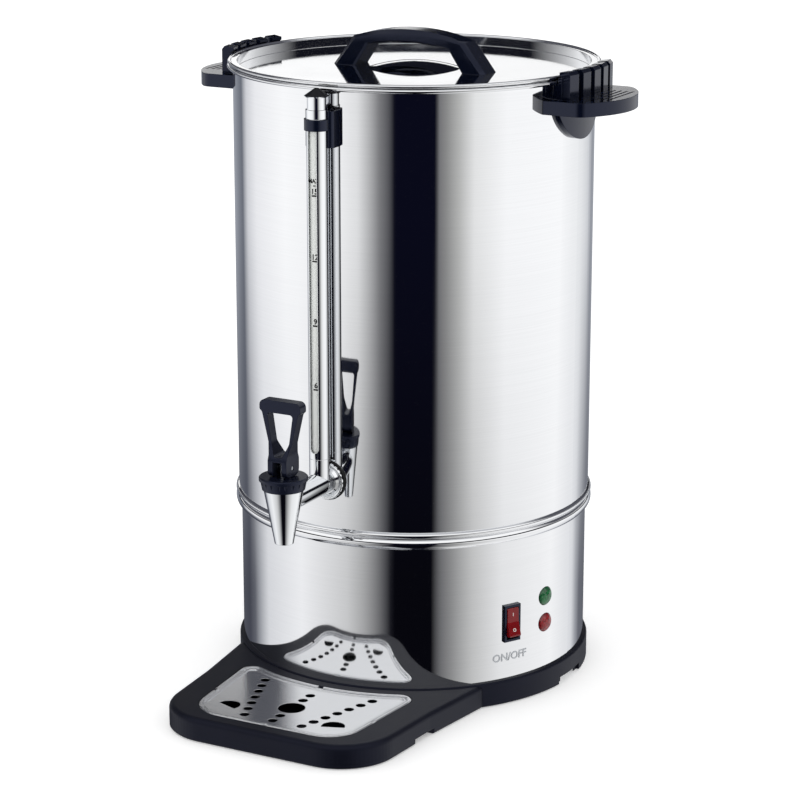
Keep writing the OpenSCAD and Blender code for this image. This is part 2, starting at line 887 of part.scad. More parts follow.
module tap_body() {
    color("#d8dadd")
        difference() {
            union() {
                at(0)
                    translate([0, 0, tap_z])
                        bar(vessel_r - shank_in, -valve_y, shank_r);
                translate([0, valve_y, spout_z])
                    cylinder(r1 = spout_r, r2 = cone_r, h = cone_z - spout_z);
                translate([0, valve_y, cone_z - 1])
                    cylinder(r = neck_r, h = neck_h + 1);
                translate([0, gauge_y, tap_z])
                    cylinder(r = shield_r, h = shield_rise);
            }
            at(0)
                translate([0, 0, tap_z])
                    bar(vessel_r - shank_in - 1, -valve_y, shank_bore);
            translate([0, valve_y, seat_at])
                cylinder(r1 = seat_r, r2 = cone_r - cone_wall, h = cone_z - seat_at);
            translate([0, valve_y, cone_z - 0.01])
                cylinder(r = neck_r - 2.2, h = neck_h + 1);
            translate([0, valve_y, spout_z - 1])
                cylinder(r = outlet_r, h = outlet_l + 2);
            translate([0, gauge_y, tap_z])
                cylinder(r = glass_r - glass_t - 0.8, h = shield_rise);
            translate([0, gauge_y, socket_z])
                cylinder(r = shield_in, h = socket_deep + 1);
        }
}

module tap_flange() {
    color("#cfd1d4")
        difference() {
            at(0)
                translate([vessel_r + washer_out, 0, tap_z])
                    rotate([0, 90, 0])
                        rotate_extrude() {
                            translate([flange_r - flange_bead, flange_bead])
                                circle(flange_bead);
                            polygon([
                                [shank_r, 0],
                                [flange_r - flange_bead, 0],
                                [flange_r - flange_bead, flange_bead],
                                [flange_r - 2 * flange_bead, flange_bead],
                                [shank_r + 0.8, flange_t],
                                [shank_r, flange_t]
                            ]);
                        }
            translate([0, gauge_y, tap_z])
                cylinder(r = shield_r + flange_gap, h = shield_rise);
            for (a = [0 : 15 : 345])
                at(0)
                    translate([0, 0, tap_z])
                        rotate([a, 0, 0])
                            translate([0, 0, flange_r + 0.6])
                                bar(vessel_r, vessel_r + 10, 1.1);
        }
}

module shank_washers() {
    color("#3a3c40") {
        difference() {
            at(0)
                translate([0, 0, tap_z])
                    bar(vessel_r - 5, vessel_r + washer_out, flange_r + washer_lip);
            translate([0, 0, tap_z - 60])
                cylinder(r = vessel_r, h = 120);
            at(0)
                translate([0, 0, tap_z])
                    bar(vessel_r - 10, vessel_r + 20, shank_r);
        }
        difference() {
            intersection() {
                at(0)
                    translate([0, 0, tap_z])
                        bar(inner_r - 1.2 - washer_in, inner_r + 1, nut_af / 2);
                translate([0, 0, tap_z - 60])
                    cylinder(r = inner_r, h = 120);
            }
            at(0)
                translate([0, 0, tap_z])
                    bar(inner_r - 20, inner_r + 20, shank_r);
        }
    }
}

module shank_nut() {
    out = inner_r - 1.2 - washer_in;
    color("#c8c2b0")
        difference() {
            at(0)
                translate([out - nut_t, 0, tap_z])
                    rotate([0, 90, 0])
                        hexagon(nut_af, nut_t);
            at(0)
                translate([0, 0, tap_z])
                    bar(out - nut_t - 1, out + 1, shank_r);
        }
}

module tap_bonnet() {
    disc_z = bonnet_top - bonnet_disc;
    color("#15161a")
        translate([0, valve_y, 0])
            difference() {
                union() {
                    translate([0, 0, cone_z])
                        cylinder(r1 = bonnet_foot, r2 = bonnet_r - 1, h = disc_z - cone_z);
                    translate([0, 0, disc_z])
                        cylinder(r = bonnet_r, h = bonnet_disc - 0.8);
                    translate([0, 0, bonnet_top - 0.8])
                        cylinder(r1 = bonnet_r, r2 = bonnet_r - 0.8, h = 0.8);
                }
                translate([0, 0, cone_z - 1])
                    cylinder(r = neck_r, h = neck_h + 1);
                translate([0, 0, cone_z])
                    cylinder(r = stem_r + stem_gap, h = bonnet_h + 1);
                for (i = [0 : bonnet_ribs - 1])
                    rotate([0, 0, 360 * i / bonnet_ribs])
                        translate([bonnet_foot + 1.7, 0, cone_z - 1])
                            cylinder(r = 1.25, h = disc_z - cone_z + 1);
            }
}

module tap_stem() {
    color("#b9bcc0")
        difference() {
            translate([0, valve_y, cup_z + 4])
                cylinder(r = stem_r, h = stem_top - cup_z - 4);
            translate([-20, valve_y, pin_z])
                bar(0, 40, pin_r);
        }
}

module seat_cup() {
    color("#d9d4c8")
        translate([0, valve_y, cup_z])
            difference() {
                cylinder(r1 = seat_r - 0.8, r2 = seat_r - 0.8 + cone_slope * cup_h, h = cup_h);
                translate([0, 0, 4])
                    cylinder(r = stem_r, h = cup_h);
            }
}

module lever_pin() {
    color("#c4c7ca")
        translate([-yoke_w / 2 + 0.4, valve_y, pin_z])
            bar(0, yoke_w - 0.8, pin_r);
}

// The lever seen from the front: a yoke, two legs and a top bar with round ends.
function lever_outline() =
    let (bar = lever_h - lever_bar)
    let (leg = loop_w / 2 + leg_w)
    let (half = [
        [yoke_w / 2, 0],
        [yoke_w / 2, yoke_h + 1],
        [leg, bar],
        [lever_w / 2, bar + 2],
        [lever_w / 2, lever_h]
    ])
    soft(
        concat(half, [for (i = [len(half) - 1 : -1 : 0]) [-half[i][0], half[i][1]]]),
        [0.2, 9, 2.4, 2, 4.4, 4.4, 2, 2.4, 9, 0.2],
        6
    );

// The loop's hole, straight at its top and drawn in to a round foot.
function loop_outline() =
    let (bar = lever_h - lever_bar)
    let (half = [
        [loop_w / 2, bar],
        [loop_w * 0.34, yoke_h + 9],
        [loop_w * 0.15, yoke_h - 0.5]
    ])
    soft(
        concat(half, [for (i = [len(half) - 1 : -1 : 0]) [-half[i][0], half[i][1]]]),
        [2.4, 14, 2.6, 2.6, 14, 2.4],
        6
    );

module tap_lever() {
    heel_z = bonnet_top + heel_gap;
    back = heel_off + heel_r;
    color("#16171b")
        difference() {
            intersection() {
                translate([0, valve_y + back + 1, heel_z])
                    rotate([90, 0, 0])
                        linear_extrude(2 * back + 2)
                            difference() {
                                polygon(lever_outline());
                                polygon(loop_outline());
                            }
                translate([-lever_w / 2 - 1, valve_y, heel_z])
                    rotate([90, 0, 90])
                        linear_extrude(lever_w + 2) {
                            for (s = [-1, 1])
                                translate([s * heel_off, heel_r])
                                    circle(heel_r);
                            translate([-heel_off, 0])
                                square([2 * heel_off, heel_r]);
                            translate([-back, heel_r])
                                square([2 * back, yoke_h - heel_r - 3]);
                            polygon([
                                [-back, yoke_h - 3.01],
                                [back, yoke_h - 3.01],
                                [lever_t / 2, yoke_h + 10],
                                [lever_t / 2, lever_h + 1],
                                [-lever_t / 2, lever_h + 1],
                                [-lever_t / 2, yoke_h + 10]
                            ]);
                        }
            }
            block(
                [-yoke_slot / 2, valve_y - back - 1, heel_z - 1],
                [yoke_slot / 2, valve_y + stem_r + 2.2, pin_z + pin_r + 4]
            );
            translate([-yoke_w, valve_y, pin_z])
                bar(0, 2 * yoke_w, pin_r + pin_gap);
        }
}

// Sight gauge

module gauge_shield() {
    color("#d5d7da")
        translate([0, gauge_y, 0])
            difference() {
                translate([0, 0, shield_low])
                    cylinder(r = shield_r, h = shield_top - shield_low);
                translate([0, 0, shield_low - 1])
                    cylinder(r = shield_in, h = shield_top - shield_low + 2);
                block([-slot_w / 2, -shield_r - 2, slot_low], [slot_w / 2, 0, slot_top]);
                translate([0, -shield_r - 2, slot_low])
                    rotate([-90, 0, 0])
                        cylinder(r = slot_w / 2, h = shield_r + 2);
            }
}

module gauge_glass() {
    color("#cfe0e6", 0.5)
        translate([0, gauge_y, socket_z + 0.5])
            difference() {
                cylinder(r = glass_r, h = shield_top + 2 - socket_z);
                translate([0, 0, -1])
                    cylinder(r = glass_r - glass_t, h = shield_top + 6 - socket_z);
            }
}

module gauge_seals() {
    color("#23252a")
        for (z = [socket_z + 0.5, shield_top - 5])
            translate([0, gauge_y, z])
                difference() {
                    cylinder(r = shield_in, h = 5);
                    translate([0, 0, -1])
                        cylinder(r = glass_r, h = 7);
                }
}

module gauge_cap() {
    color("#d8dadd")
        translate([0, gauge_y, 0])
            difference() {
                union() {
                    translate([0, 0, shield_top])
                        cylinder(r = shield_r, h = ferrule_h);
                    translate([0, 0, cap_z - 1])
                        cylinder(r = cap_neck_r, h = cap_neck_h + 1);
                    translate([0, 0, cap_z + cap_neck_h])
                        cylinder(r1 = cap_r - 0.6, r2 = cap_r, h = 0.8);
                    translate([0, 0, cap_z + cap_neck_h + 0.8])
                        cylinder(r1 = cap_r, r2 = 1.2, h = cap_h - 0.8);
                }
                translate([0, 0, shield_top - 1])
                    cylinder(r = shield_in, h = 5);
                translate([0, 0, shield_top])
                    cylinder(r = 1.5, h = ferrule_h + cap_neck_h - 2);
            }
}

// The bracket seen from above, from the shield's axis back to the wall.
module bracket_outline() {
    turn_x = bracket_w / 2 - bracket_round;
    front = gauge_y + 1.5;
    translate([-turn_x, front])
        square([2 * turn_x, gauge_off]);
    translate([-bracket_w / 2, front + bracket_round])
        square([bracket_w, gauge_off]);
    for (s = [-1, 1])
        translate([s * turn_x, front + bracket_round])
            circle(bracket_round);
}

module gauge_bracket() {
    color("#15161a")
        difference() {
            union() {
                translate([0, gauge_y, slot_top + 0.3])
                    cylinder(r = shield_r + band_t, h = band_h);
                translate([0, 0, bracket_low])
                    linear_extrude(shield_top + bracket_over - bracket_low)
                        bracket_outline();
            }
            translate([0, gauge_y, bracket_low - 1])
                cylinder(r = shield_r, h = 60);
            translate([0, 0, bracket_low - 1])
                cylinder(r = vessel_r, h = 60);
            at(0)
                translate([0, 0, bracket_screw_z])
                    bar(vessel_r - 2, vessel_r + gauge_off - shield_r - 0.4, screw_r);
        }
}

module bracket_screw() {
    color("#b9bcc0")
        at(0)
            translate([0, 0, bracket_screw_z]) {
                bar(inner_r - 2.4, inner_r - 0.1, 4);
                bar(inner_r - 1, vessel_r + gauge_off - shield_r - 0.4, screw_r);
            }
}

// Switch and lamps

module switch_housing() {
    color("#111216")
        at(switch_a)
            translate([0, 0, switch_z])
                difference() {
                    union() {
                        difference() {
                            block(
                                [bezel_x, -bezel_w / 2, -bezel_h / 2],
                                [bezel_x + bezel_t, bezel_w / 2, bezel_h / 2]
                            );
                            cylinder(r = skirt_r, h = 2 * bezel_h, center = true);
                        }
                        block(
                            [bezel_x - box_d, -box_w / 2, -box_h / 2],
                            [bezel_x + 0.01, box_w / 2, box_h / 2]
                        );
                        for (y = [-3, 3])
                            block([bezel_x - box_d - 8, y - 0.4, -3], [bezel_x - box_d + 1, y + 0.4, 3]);
                    }
                    block(
                        [hinge_x - 6, -pocket_w / 2, -pocket_h / 2],
                        [bezel_x + 10, pocket_w / 2, pocket_h / 2]
                    );
                    translate([hinge_x, 0, 0])
                        rotate([90, 0, 0])
                            cylinder(r = pivot_r + pivot_gap, h = box_w + 2, center = true);
                }
}

module switch_rocker() {
    color("#c8161d")
        at(switch_a)
            translate([hinge_x, 0, switch_z])
                rotate([0, -rocker_tilt, 0])
                    rotate([90, 0, 0]) {
                        cylinder(r = pivot_r, h = box_w - 0.4, center = true);
                        linear_extrude(rocker_w, center = true)
                            polygon([
                                [-3, -4],
                                [-3, 4],
                                [1, rocker_half - 0.4],
                                [rocker_out - 0.6, rocker_half],
                                [rocker_out, rocker_half - 1.2],
                                [rocker_out - 1.6, 0],
                                [rocker_out, -rocker_half + 1.2],
                                [rocker_out - 0.6, -rocker_half],
                                [1, -rocker_half + 0.4]
                            ]);
                    }
}

// A lamp whose lens sits on the skirt.
module lamp(z) {
    ball = (lens_r * lens_r + lens_h * lens_h) / (2 * lens_h);
    at(lamp_a)
        translate([0, 0, z]) {
            difference() {
                translate([lens_x, 0, 0])
                    rotate([0, 90, 0])
                        rotate_extrude()
                            intersection() {
                                translate([0, lens_h - ball])
                                    circle(ball);
                                square([lens_r, lens_h + 1]);
                            }
                cylinder(r = skirt_r, h = 4 * lens_r, center = true);
            }
            bar(lens_x - barrel_l, lens_x + 0.5, barrel_r);
        }
}

module ready_lamp() {
    color("#1f8f4a")
        lamp(green_z);
}

module heat_lamp() {
    color("#b01c20")
        lamp(red_z);
}

module lamp_nuts() {
    out = sqrt(skirt_inner * skirt_inner - 81);
    color("#e6e3d8")
        at(lamp_a)
            for (z = [green_z, red_z])
                translate([0, 0, z])
                    difference() {
                        translate([out - 4, 0, 0])
                            rotate([0, 90, 0])
                                hexagon(14, 4);
                        bar(out - 6, out + 6, barrel_r);
                    }
}

// Heater and wiring

module heater_plate() {
    color("#a9abae")
        translate([0, 0, heat_low])
            difference() {
                cylinder(r = heat_r, h = heat_t);
                translate([0, 0, -1])
                    cylinder(r = well_r + floor_t + 0.5, h = heat_t + 2);
            }
}

module heating_element() {
    z = heat_low - coil_rod;
    color("#6e7074") {
        translate([0, 0, z])
            rotate([0, 0, 110])
                rotate_extrude(angle = 320)
                    translate([coil_r, 0])
                        circle(coil_rod);
        for (a = [110, 70])
            rotate([0, 0, a])
                translate([coil_r, 0, z - 16])
                    cylinder(r = coil_rod - 0.6, h = 16);
    }
}

module thermostat() {
    color("#e4e1d6")
        translate([0, 0, well_z - floor_t - 12]) {
            cylinder(r = 11, h = 12);
            for (x = [-5, 5])
                block([x - 0.4, -3, -8], [x + 0.4, 3, 0.5]);
        }
}

module cutout() {
    color("#d9d6ca")
        at(200)
            translate([heat_r - 8, 0, heat_low - 10]) {
                cylinder(r = 7, h = 10);
                for (y = [-3, 3])
                    block([-3, y - 0.4, -7], [3, y + 0.4, 0.5]);
            }
}

module terminal_block() {
    color("#ece9df")
        translate([0, 62, plate_top])
            difference() {
                block([-24, -10, 0], [24, 10, 16]);
                for (x = [-15, 0, 15]) {
                    translate([x, 0, 6])
                        cylinder(r = 3, h = 20);
                    translate([x, -20, 6])
                        rotate([-90, 0, 0])
                            cylinder(r = 2.4, h = 40);
                }
            }
}

module earth_stud() {
    color("#c9a75a")
        translate([46, 66, plate_top]) {
            hexagon(8, 3);
            cylinder(r = 2, h = 14);
            translate([0, 0, 7])
                hexagon(7, 3);
        }
}

module cord_gland() {
    seat = sqrt(skirt_r * skirt_r - (gland_r + bolt_slack) * (gland_r + bolt_slack));
    inside = sqrt(skirt_inner * skirt_inner - 196);
    color("#18191d")
        at(180)
            translate([0, 0, gland_z])
                difference() {
                    union() {
                        bar(inside - 8, seat + 1, gland_r);
                        translate([inside - 6, 0, 0])
                            rotate([0, 90, 0])
                                hexagon(22, 5);
                        difference() {
                            translate([seat, 0, 0])
                                rotate([0, 90, 0])
                                    hexagon(21, 5);
                            cylinder(r = skirt_r, h = 60, center = true);
                        }
                        bar(seat + 4, seat + gland_out - 3, 10);
                        translate([seat + gland_out - 3, 0, 0])
                            rotate([0, 90, 0])
                                cylinder(r1 = 10, r2 = 6.5, h = 3);
                    }
                    bar(inside - 10, seat + gland_out + 1, gland_bore);
                }
}

module tie_bolts() {
    color("#b9bcc0")
        for (a = [0 : 120 : 240])
            at(a)
                translate([tie_at, 0, 0]) {
                    translate([0, 0, plate_z - 3.6])
                        cylinder(r = tie_r, h = heat_top - plate_z + 3.6);
                    translate([0, 0, plate_z - 3])
                        hexagon(10, 3);
                    translate([0, 0, shield_z - 3])
                        hexagon(10, 3);
                    translate([0, 0, shield_z + 1])
                        hexagon(10, 3);
                }
}

module heat_shield() {
    color("#b4b6b9")
        difference() {
            translate([0, 0, shield_z])
                cylinder(r = shield_disc, h = 1);
            for (a = [0 : 120 : 240])
                at(a)
                    translate([tie_at, 0, 0])
                        cylinder(r = tie_r + bolt_slack, h = 300);
            cylinder(r = 9, h = 300);
            for (a = [110, 70])
                rotate([0, 0, a])
                    translate([coil_r, 0, 0])
                        cylinder(r = 8, h = 300);
        }
}

// Percolator

module pump_foot() {
    color("#cfd1d4")
        translate([0, 0, foot_cone_z])
            difference() {
                cylinder(r1 = foot_cone_r, r2 = tube_r + 1.2, h = foot_cone_h);
                translate([0, 0, -0.01])
                    cylinder(r1 = foot_cone_r - 1.2, r2 = tube_r, h = foot_cone_h - 8);
                cylinder(r = tube_r, h = foot_cone_h + 1);
                for (a = [0 : 60 : 300])
                    rotate([0, 0, a])
                        translate([foot_cone_r, 0, 0])
                            cylinder(r = 3, h = 5);
            }
}

module percolator_tube() {
    low = foot_cone_z + foot_cone_h - 8;
    color("#d2d4d7")
        difference() {
            union() {
                translate([0, 0, low])
                    cylinder(r = tube_r, h = tube_top - low);
                translate([0, 0, basket_z - 3])
                    cylinder(r = tube_r + 5, h = 2.7);
            }
            translate([0, 0, low - 1])
                cylinder(r = tube_r - tube_t, h = tube_h + 200);
        }
}

module coffee_basket() {
    color("#cbcdd0")
        translate([0, 0, basket_z])
            difference() {
                union() {
                    difference() {
                        cylinder(r = basket_r, h = basket_h);
                        translate([0, 0, basket_t])
                            cylinder(r = basket_r - basket_t, h = basket_h);
                    }
                    cylinder(r = sleeve_r + 1.2, h = basket_h - 6);
                }
                translate([0, 0, -1])
                    cylinder(r = sleeve_r, h = basket_h + 2);
                for (k = [1 : 4])
                    for (i = [0 : 6 * k - 1])
                        rotate([0, 0, 60 * i / k])
                            translate([basket_r * (0.04 + 0.2 * k), 0, -1])
                                cylinder(r = 2, h = 4);
            }
}

module basket_lid() {
    color("#d0d2d5")
        translate([0, 0, basket_z + basket_h + 0.3])
            difference() {
                union() {
                    cylinder(r = basket_r + 1.6, h = 1);
                    translate([0, 0, -4])
                        cylinder(r = basket_r - basket_t - 0.6, h = 4.5);
                }
                translate([0, 0, -5])
                    cylinder(r = basket_r - basket_t - 1.6, h = 5);
                translate([0, 0, -1])
                    cylinder(r = sleeve_r, h = 4);
                for (k = [1 : 3])
                    for (i = [0 : 6 * k - 1])
                        rotate([0, 0, 60 * i / k])
                            translate([basket_r * 0.27 * k, 0, -1])
                                cylinder(r = 2, h = 4);
            }
}

// Lid

module lid_pan() {
    color("#dadcde")
        difference() {
            rotate_extrude() {
                translate([lid_r - lid_roll, lid_roll_z])
                    circle(lid_roll);
                translate([lid_wall - lid_t, lid_roll_z - lid_t / 2])
                    square([lid_r - lid_roll - lid_wall + lid_t, lid_t]);
                translate([lid_wall - lid_t, lid_z - lid_t])
                    square([lid_t, lid_roll_z - lid_z + lid_t]);
                translate([dome_r - 1.6, lid_z - lid_t])
                    square([lid_wall - dome_r + 1.6, lid_t]);
                intersection() {
                    translate([0, lid_z + dome_h - dome_ball])
                        difference() {
                            circle(dome_ball, $fn = 180);
                            circle(dome_ball - lid_t, $fn = 180);
                        }
                    translate([0, lid_z - lid_t])
                        square([dome_r, dome_h + 2]);
                }
            }
            for (s = [-1, 1])
                translate([s * grip_screw_at, 0, lid_z - 5])
                    cylinder(r = grip_screw_r + bolt_slack, h = 10);
        }
}

// The lid handle's outer and inner edge at station t, from -1 to 1 along the arch.
function grip_out(t) = [grip_shoulder * t, grip_shoulder_h + (grip_h - grip_shoulder_h) * (1 - t * t)];
function grip_low(t) =
    let (end = grip_shoulder_h - grip_end_t)
    [grip_inner * t, end + (grip_h - grip_t - end) * (1 - t * t)];

// The beveled section between an inner and an outer point, as eight points.
function grip_ring(o, i) =
    let (d = unit(o - i) * grip_bevel)
    let (w = grip_w / 2)
    let (v = w - grip_bevel)
    [
        [o[0], -v, o[1]],
        [o[0] - d[0], -w, o[1] - d[1]],
        [i[0] + d[0] / 2, -w, i[1] + d[1] / 2],
        [i[0], -w + grip_bevel / 2, i[1]],
        [i[0], w - grip_bevel / 2, i[1]],
        [i[0] + d[0] / 2, w, i[1] + d[1] / 2],
        [o[0] - d[0], w, o[1] - d[1]],
        [o[0], v, o[1]]
    ];

module lid_handle() {
    n = 12;
    rings = concat(
        [grip_ring([-grip_foot, 0], [-grip_open, 0])],
        [for (k = [0 : n]) grip_ring(grip_out(2 * k / n - 1), grip_low(2 * k / n - 1))],
        [grip_ring([grip_foot, 0], [grip_open, 0])]
    );
    color("#14151a")
        translate([0, 0, lid_z])
            difference() {
                skin(rings);
                for (s = [-1, 1])
                    translate([s * grip_screw_at, 0, -1])
                        cylinder(r = grip_screw_r, h = 13);
            }
}

module lid_handle_screws() {
    color("#b9bcc0")
        for (s = [-1, 1])
            translate([s * grip_screw_at, 0, lid_z - lid_t]) {
                translate([0, 0, -2])
                    cylinder(r = 4, h = 2);
                translate([0, 0, -1])
                    cylinder(r = grip_screw_r, h = lid_t + 12);
            }
}

// Drip tray

// The tray's outline drawn in by d, from the back left round the front to the back right.
function tray_outline(d) = soft(
    [
        [-tray_back + d, -tray_back_at],
        [-tray_mid + d, -tray_y + tray_mid_at],
        [-tray_front + d, -tray_y + d],
        [tray_front - d, -tray_y + d],
        [tray_mid - d, -tray_y + tray_mid_at],
        [tray_back - d, -tray_back_at]
    ],
    [1, 90 + d, tray_corner - d, tray_corner - d, 90 + d, 1],
    20
);

function level(p, z) = [for (q = p) [q[0], q[1], z]];

module tray_solid() {
    steps = 4;
    skin(concat(
        [level(tray_outline(1), 0.6), level(tray_outline(0), 1.6)],
        [for (k = [0 : steps])
            level(
                tray_outline(tray_round * (1 - cos(90 * k / steps))),
                tray_top - tray_round * (1 - sin(90 * k / steps))
            )]
    ));
}

// The right half of the grille's outline drawn in by d, from its front corner to its back corner.
function grille_half(d) =
    let (
        p = grille_p + grille_n * d,
        front = p + grille_u * ((d - grille_y - p[1]) / grille_u[1]),
        a = atan2(-grille_n[1], -grille_n[0]),
        b = atan2(-grille_turn[1], -grille_turn[0]),
        turn = [for (i = [0 : 8])
            let (w = a + (b - a) * i / 8)
            grille_turn + (grille_round - d) * [cos(w), sin(w)]]
    )
    concat(corner([-front[0], front[1]], front, turn[0], grille_corner - d, 11), turn);

module grille_outline(d) {
    half = grille_half(d);
    a = atan2(grille_turn[1], grille_turn[0]);
    back = [for (i = [1 : 23])
        let (w = a - (180 + 2 * a) * i / 24)
        (grille_r + d) * [cos(w), sin(w)]];
    left = [for (i = [len(half) - 1 : -1 : 0]) [-half[i][0], half[i][1]]];
    polygon(concat(half, back, left));
}

// A band of the grille's border, between d = d0 and d = d1, up to height h.
module grille_band(d0, d1, h) {
    linear_extrude(h)
        difference() {
            grille_outline(d0);
            grille_outline(d1);
        }
}

module drip_tray() {
    color("#15161a")
        difference() {
            union() {
                difference() {
                    tray_solid();
                    translate([0, 0, -1])
                        cylinder(r = tray_cut, h = tray_top + 2);
                }
                for (s = [-1, 1])
                    intersection() {
                        translate([s * tongue_at - tongue_w / 2, -tray_cut - 10, tongue_z])
                            cube([tongue_w, 60, tongue_t]);
                        difference() {
                            cylinder(r = tray_cut + 4, h = 40);
                            cylinder(r = ring_r - tongue_l, h = 40);
                        }
                    }
            }
            translate([0, 0, seat_z])
                linear_extrude(20)
                    grille_outline(-grille_gap);
            translate([0, 0, tray_floor])
                linear_extrude(20)
                    grille_outline(grille_rim_w);
            for (s = [-1, 1])
                translate([s * tray_mid, -tray_y + tray_mid_at - 8, 0])
                    cube([26, side_notch_l, 2 * side_notch_h], center = true);
        }
}

module tray_pads() {
    color("#101113")
        for (s = [-1, 1])
            for (p = [[0.68 * tray_front, 0.27 * tray_reach], [0.84 * tray_mid, 1.04 * tray_reach]])
                translate([s * p[0], -tray_y + p[1], 0])
                    cylinder(r = pad_r, h = 0.6);
}

module drip_grille() {
    mid = grille_notch_y + 2.5;
    color("#d0d2d5")
        difference() {
            union() {
                translate([0, 0, grille_z])
                    linear_extrude(grille_t)
                        grille_outline(0);
                translate([0, 0, grille_z]) {
                    grille_band(0, grille_bead, grille_rim_h - 0.6);
                    grille_band(0.6, grille_bead - 0.6, grille_rim_h);
                    grille_band(grille_bead + grille_groove, grille_rim_w, grille_t + 0.7);
                }
            }
            for (p = [[0, -grille_y], [0, -grille_r]])
                translate([p[0], p[1], grille_z + grille_t])
                    translate([-grille_notch / 2, -grille_bead, 0])
                        cube([grille_notch, 2 * grille_bead, 5]);
            for (s = [-1, 1])
                translate([s * grille_notch_x, -grille_notch_y, grille_z + grille_t])
                    translate([-grille_bead, -grille_notch / 2, 0])
                        cube([2 * grille_bead, grille_notch, 5]);
            translate([0, 0, grille_z - 1]) {
                translate([0, -mid, 0])
                    cylinder(r = drain_mid_r, h = 10);
                for (y = [-28.6, -17.4, 17.4, 28.6])
                    translate([0, -mid + y, 0])
                        cylinder(r = drain_r, h = 10);
                for (s = [-1, 1]) {
                    for (k = [0 : 6])
                        translate([s * (48 - 23 * k / 6), -mid + 41 - 69 * k / 6, 0])
                            cylinder(r = drain_r, h = 10);
                    translate([s * 46, -mid - 17, 0])
                        intersection() {
                            cylinder(r = finger_r, h = 10);
                            rotate([0, 0, s * 20])
                                translate([-20, -2, 0])
                                    cube([40, 20, 10]);
                        }
                }
            }
        }
}

base_ring();
base_plate();
base_feet();
base_screws();
skirt();
bead_band();
vessel_wall();
vessel_floor();
handle_left();
handle_right();
handle_screws();
tap_body();
tap_flange();
shank_washers();
shank_nut();
tap_bonnet();
gauge_shield();
gauge_glass();
gauge_seals();
gauge_cap();
gauge_bracket();
bracket_screw();
switch_housing();
ready_lamp();
heat_lamp();
lamp_nuts();
heater_plate();
heating_element();
thermostat();
cutout();
terminal_block();
earth_stud();
cord_gland();
tie_bolts();
heat_shield();
pump_foot();
percolator_tube();
coffee_basket();
basket_lid();
lid_pan();
lid_handle();
lid_handle_screws();
drip_tray();
tray_pads();
drip_grille();
tap_stem();
seat_cup();
lever_pin();
tap_lever();
switch_rocker();
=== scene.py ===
import math

import bpy
from mathutils import Matrix


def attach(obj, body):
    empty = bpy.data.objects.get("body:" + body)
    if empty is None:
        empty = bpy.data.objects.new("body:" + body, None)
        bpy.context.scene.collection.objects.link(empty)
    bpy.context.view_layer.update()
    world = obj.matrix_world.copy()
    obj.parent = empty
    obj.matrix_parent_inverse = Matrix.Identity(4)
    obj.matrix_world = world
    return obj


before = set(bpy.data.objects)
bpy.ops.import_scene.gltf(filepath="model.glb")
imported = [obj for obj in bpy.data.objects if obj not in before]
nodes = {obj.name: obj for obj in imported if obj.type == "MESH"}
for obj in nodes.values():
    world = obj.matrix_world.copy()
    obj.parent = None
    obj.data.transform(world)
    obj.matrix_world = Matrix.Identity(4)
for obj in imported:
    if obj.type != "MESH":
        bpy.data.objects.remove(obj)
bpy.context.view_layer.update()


# Base ring: one injection moulding in black ABS, open above and below, that the
# skirt stands in. It is screwed to the base plate from below, and its outside has
# the fine grain of a spark-eroded mould.


def linear(colour):
    """The linear RGBA of an sRGB hex colour."""
    parts = [int(colour[i : i + 2], 16) / 255 for i in (1, 3, 5)]
    return [p / 12.92 if p <= 0.04045 else ((p + 0.055) / 1.055) ** 2.4 for p in parts] + [1.0]


def add(tree, kind, inputs=None, **settings):
    """Adds one node with its settings; inputs are values, or the sockets that feed them."""
    node = tree.nodes.new(kind)
    for name, value in settings.items():
        setattr(node, name, value)
    for name, value in (inputs or {}).items():
        if isinstance(value, bpy.types.NodeSocket):
            tree.links.new(value, node.inputs[name])
        else:
            node.inputs[name].default_value = value
    return node


def mixed(tree, share, low, high):
    """Two colours mixed by a share from 0 to 1."""
    # The Mix node's colours are its inputs 6 and 7, and its output 2.
    mix = add(tree, "ShaderNodeMix", {"Factor": share, 6: low, 7: high}, data_type="RGBA")
    return mix.outputs[2]


def remap(tree, value, source=(0.0, 1.0), target=(0.0, 1.0)):
    """A value moved from one span to another, and held inside it."""
    spans = {
        "From Min": source[0],
        "From Max": source[1],
        "To Min": target[0],
        "To Max": target[1],
    }
    return add(tree, "ShaderNodeMapRange", {"Value": value, **spans}).outputs["Result"]


def noise(tree, place, size, detail):
    """A cloudy pattern from 0 to 1, with patches of the size given."""
    inputs = {"Vector": place, "Scale": 1 / size, "Detail": detail}
    return add(tree, "ShaderNodeTexNoise", inputs).outputs["Fac"]


def grained(tree, pattern, depth, strength, edge):
    """A surface that a pattern raises to a depth, with its edges rounded."""
    round_edge = add(tree, "ShaderNodeBevel", {"Radius": edge}, samples=6).outputs["Normal"]
    inputs = {"Strength": strength, "Distance": depth, "Height": pattern, "Normal": round_edge}
    return add(tree, "ShaderNodeBump", inputs).outputs["Normal"]


def bare_material(name):
    """A new material with no nodes, and its node tree."""
    material = bpy.data.materials.new(name)
    material.use_nodes = True
    material.node_tree.nodes.clear()
    return material, material.node_tree


def coat(tree, inputs):
    """Ends a material's tree with its one shader."""
    shader = add(tree, "ShaderNodeBsdfPrincipled", inputs)
    add(tree, "ShaderNodeOutputMaterial", {"Surface": shader.outputs["BSDF"]})


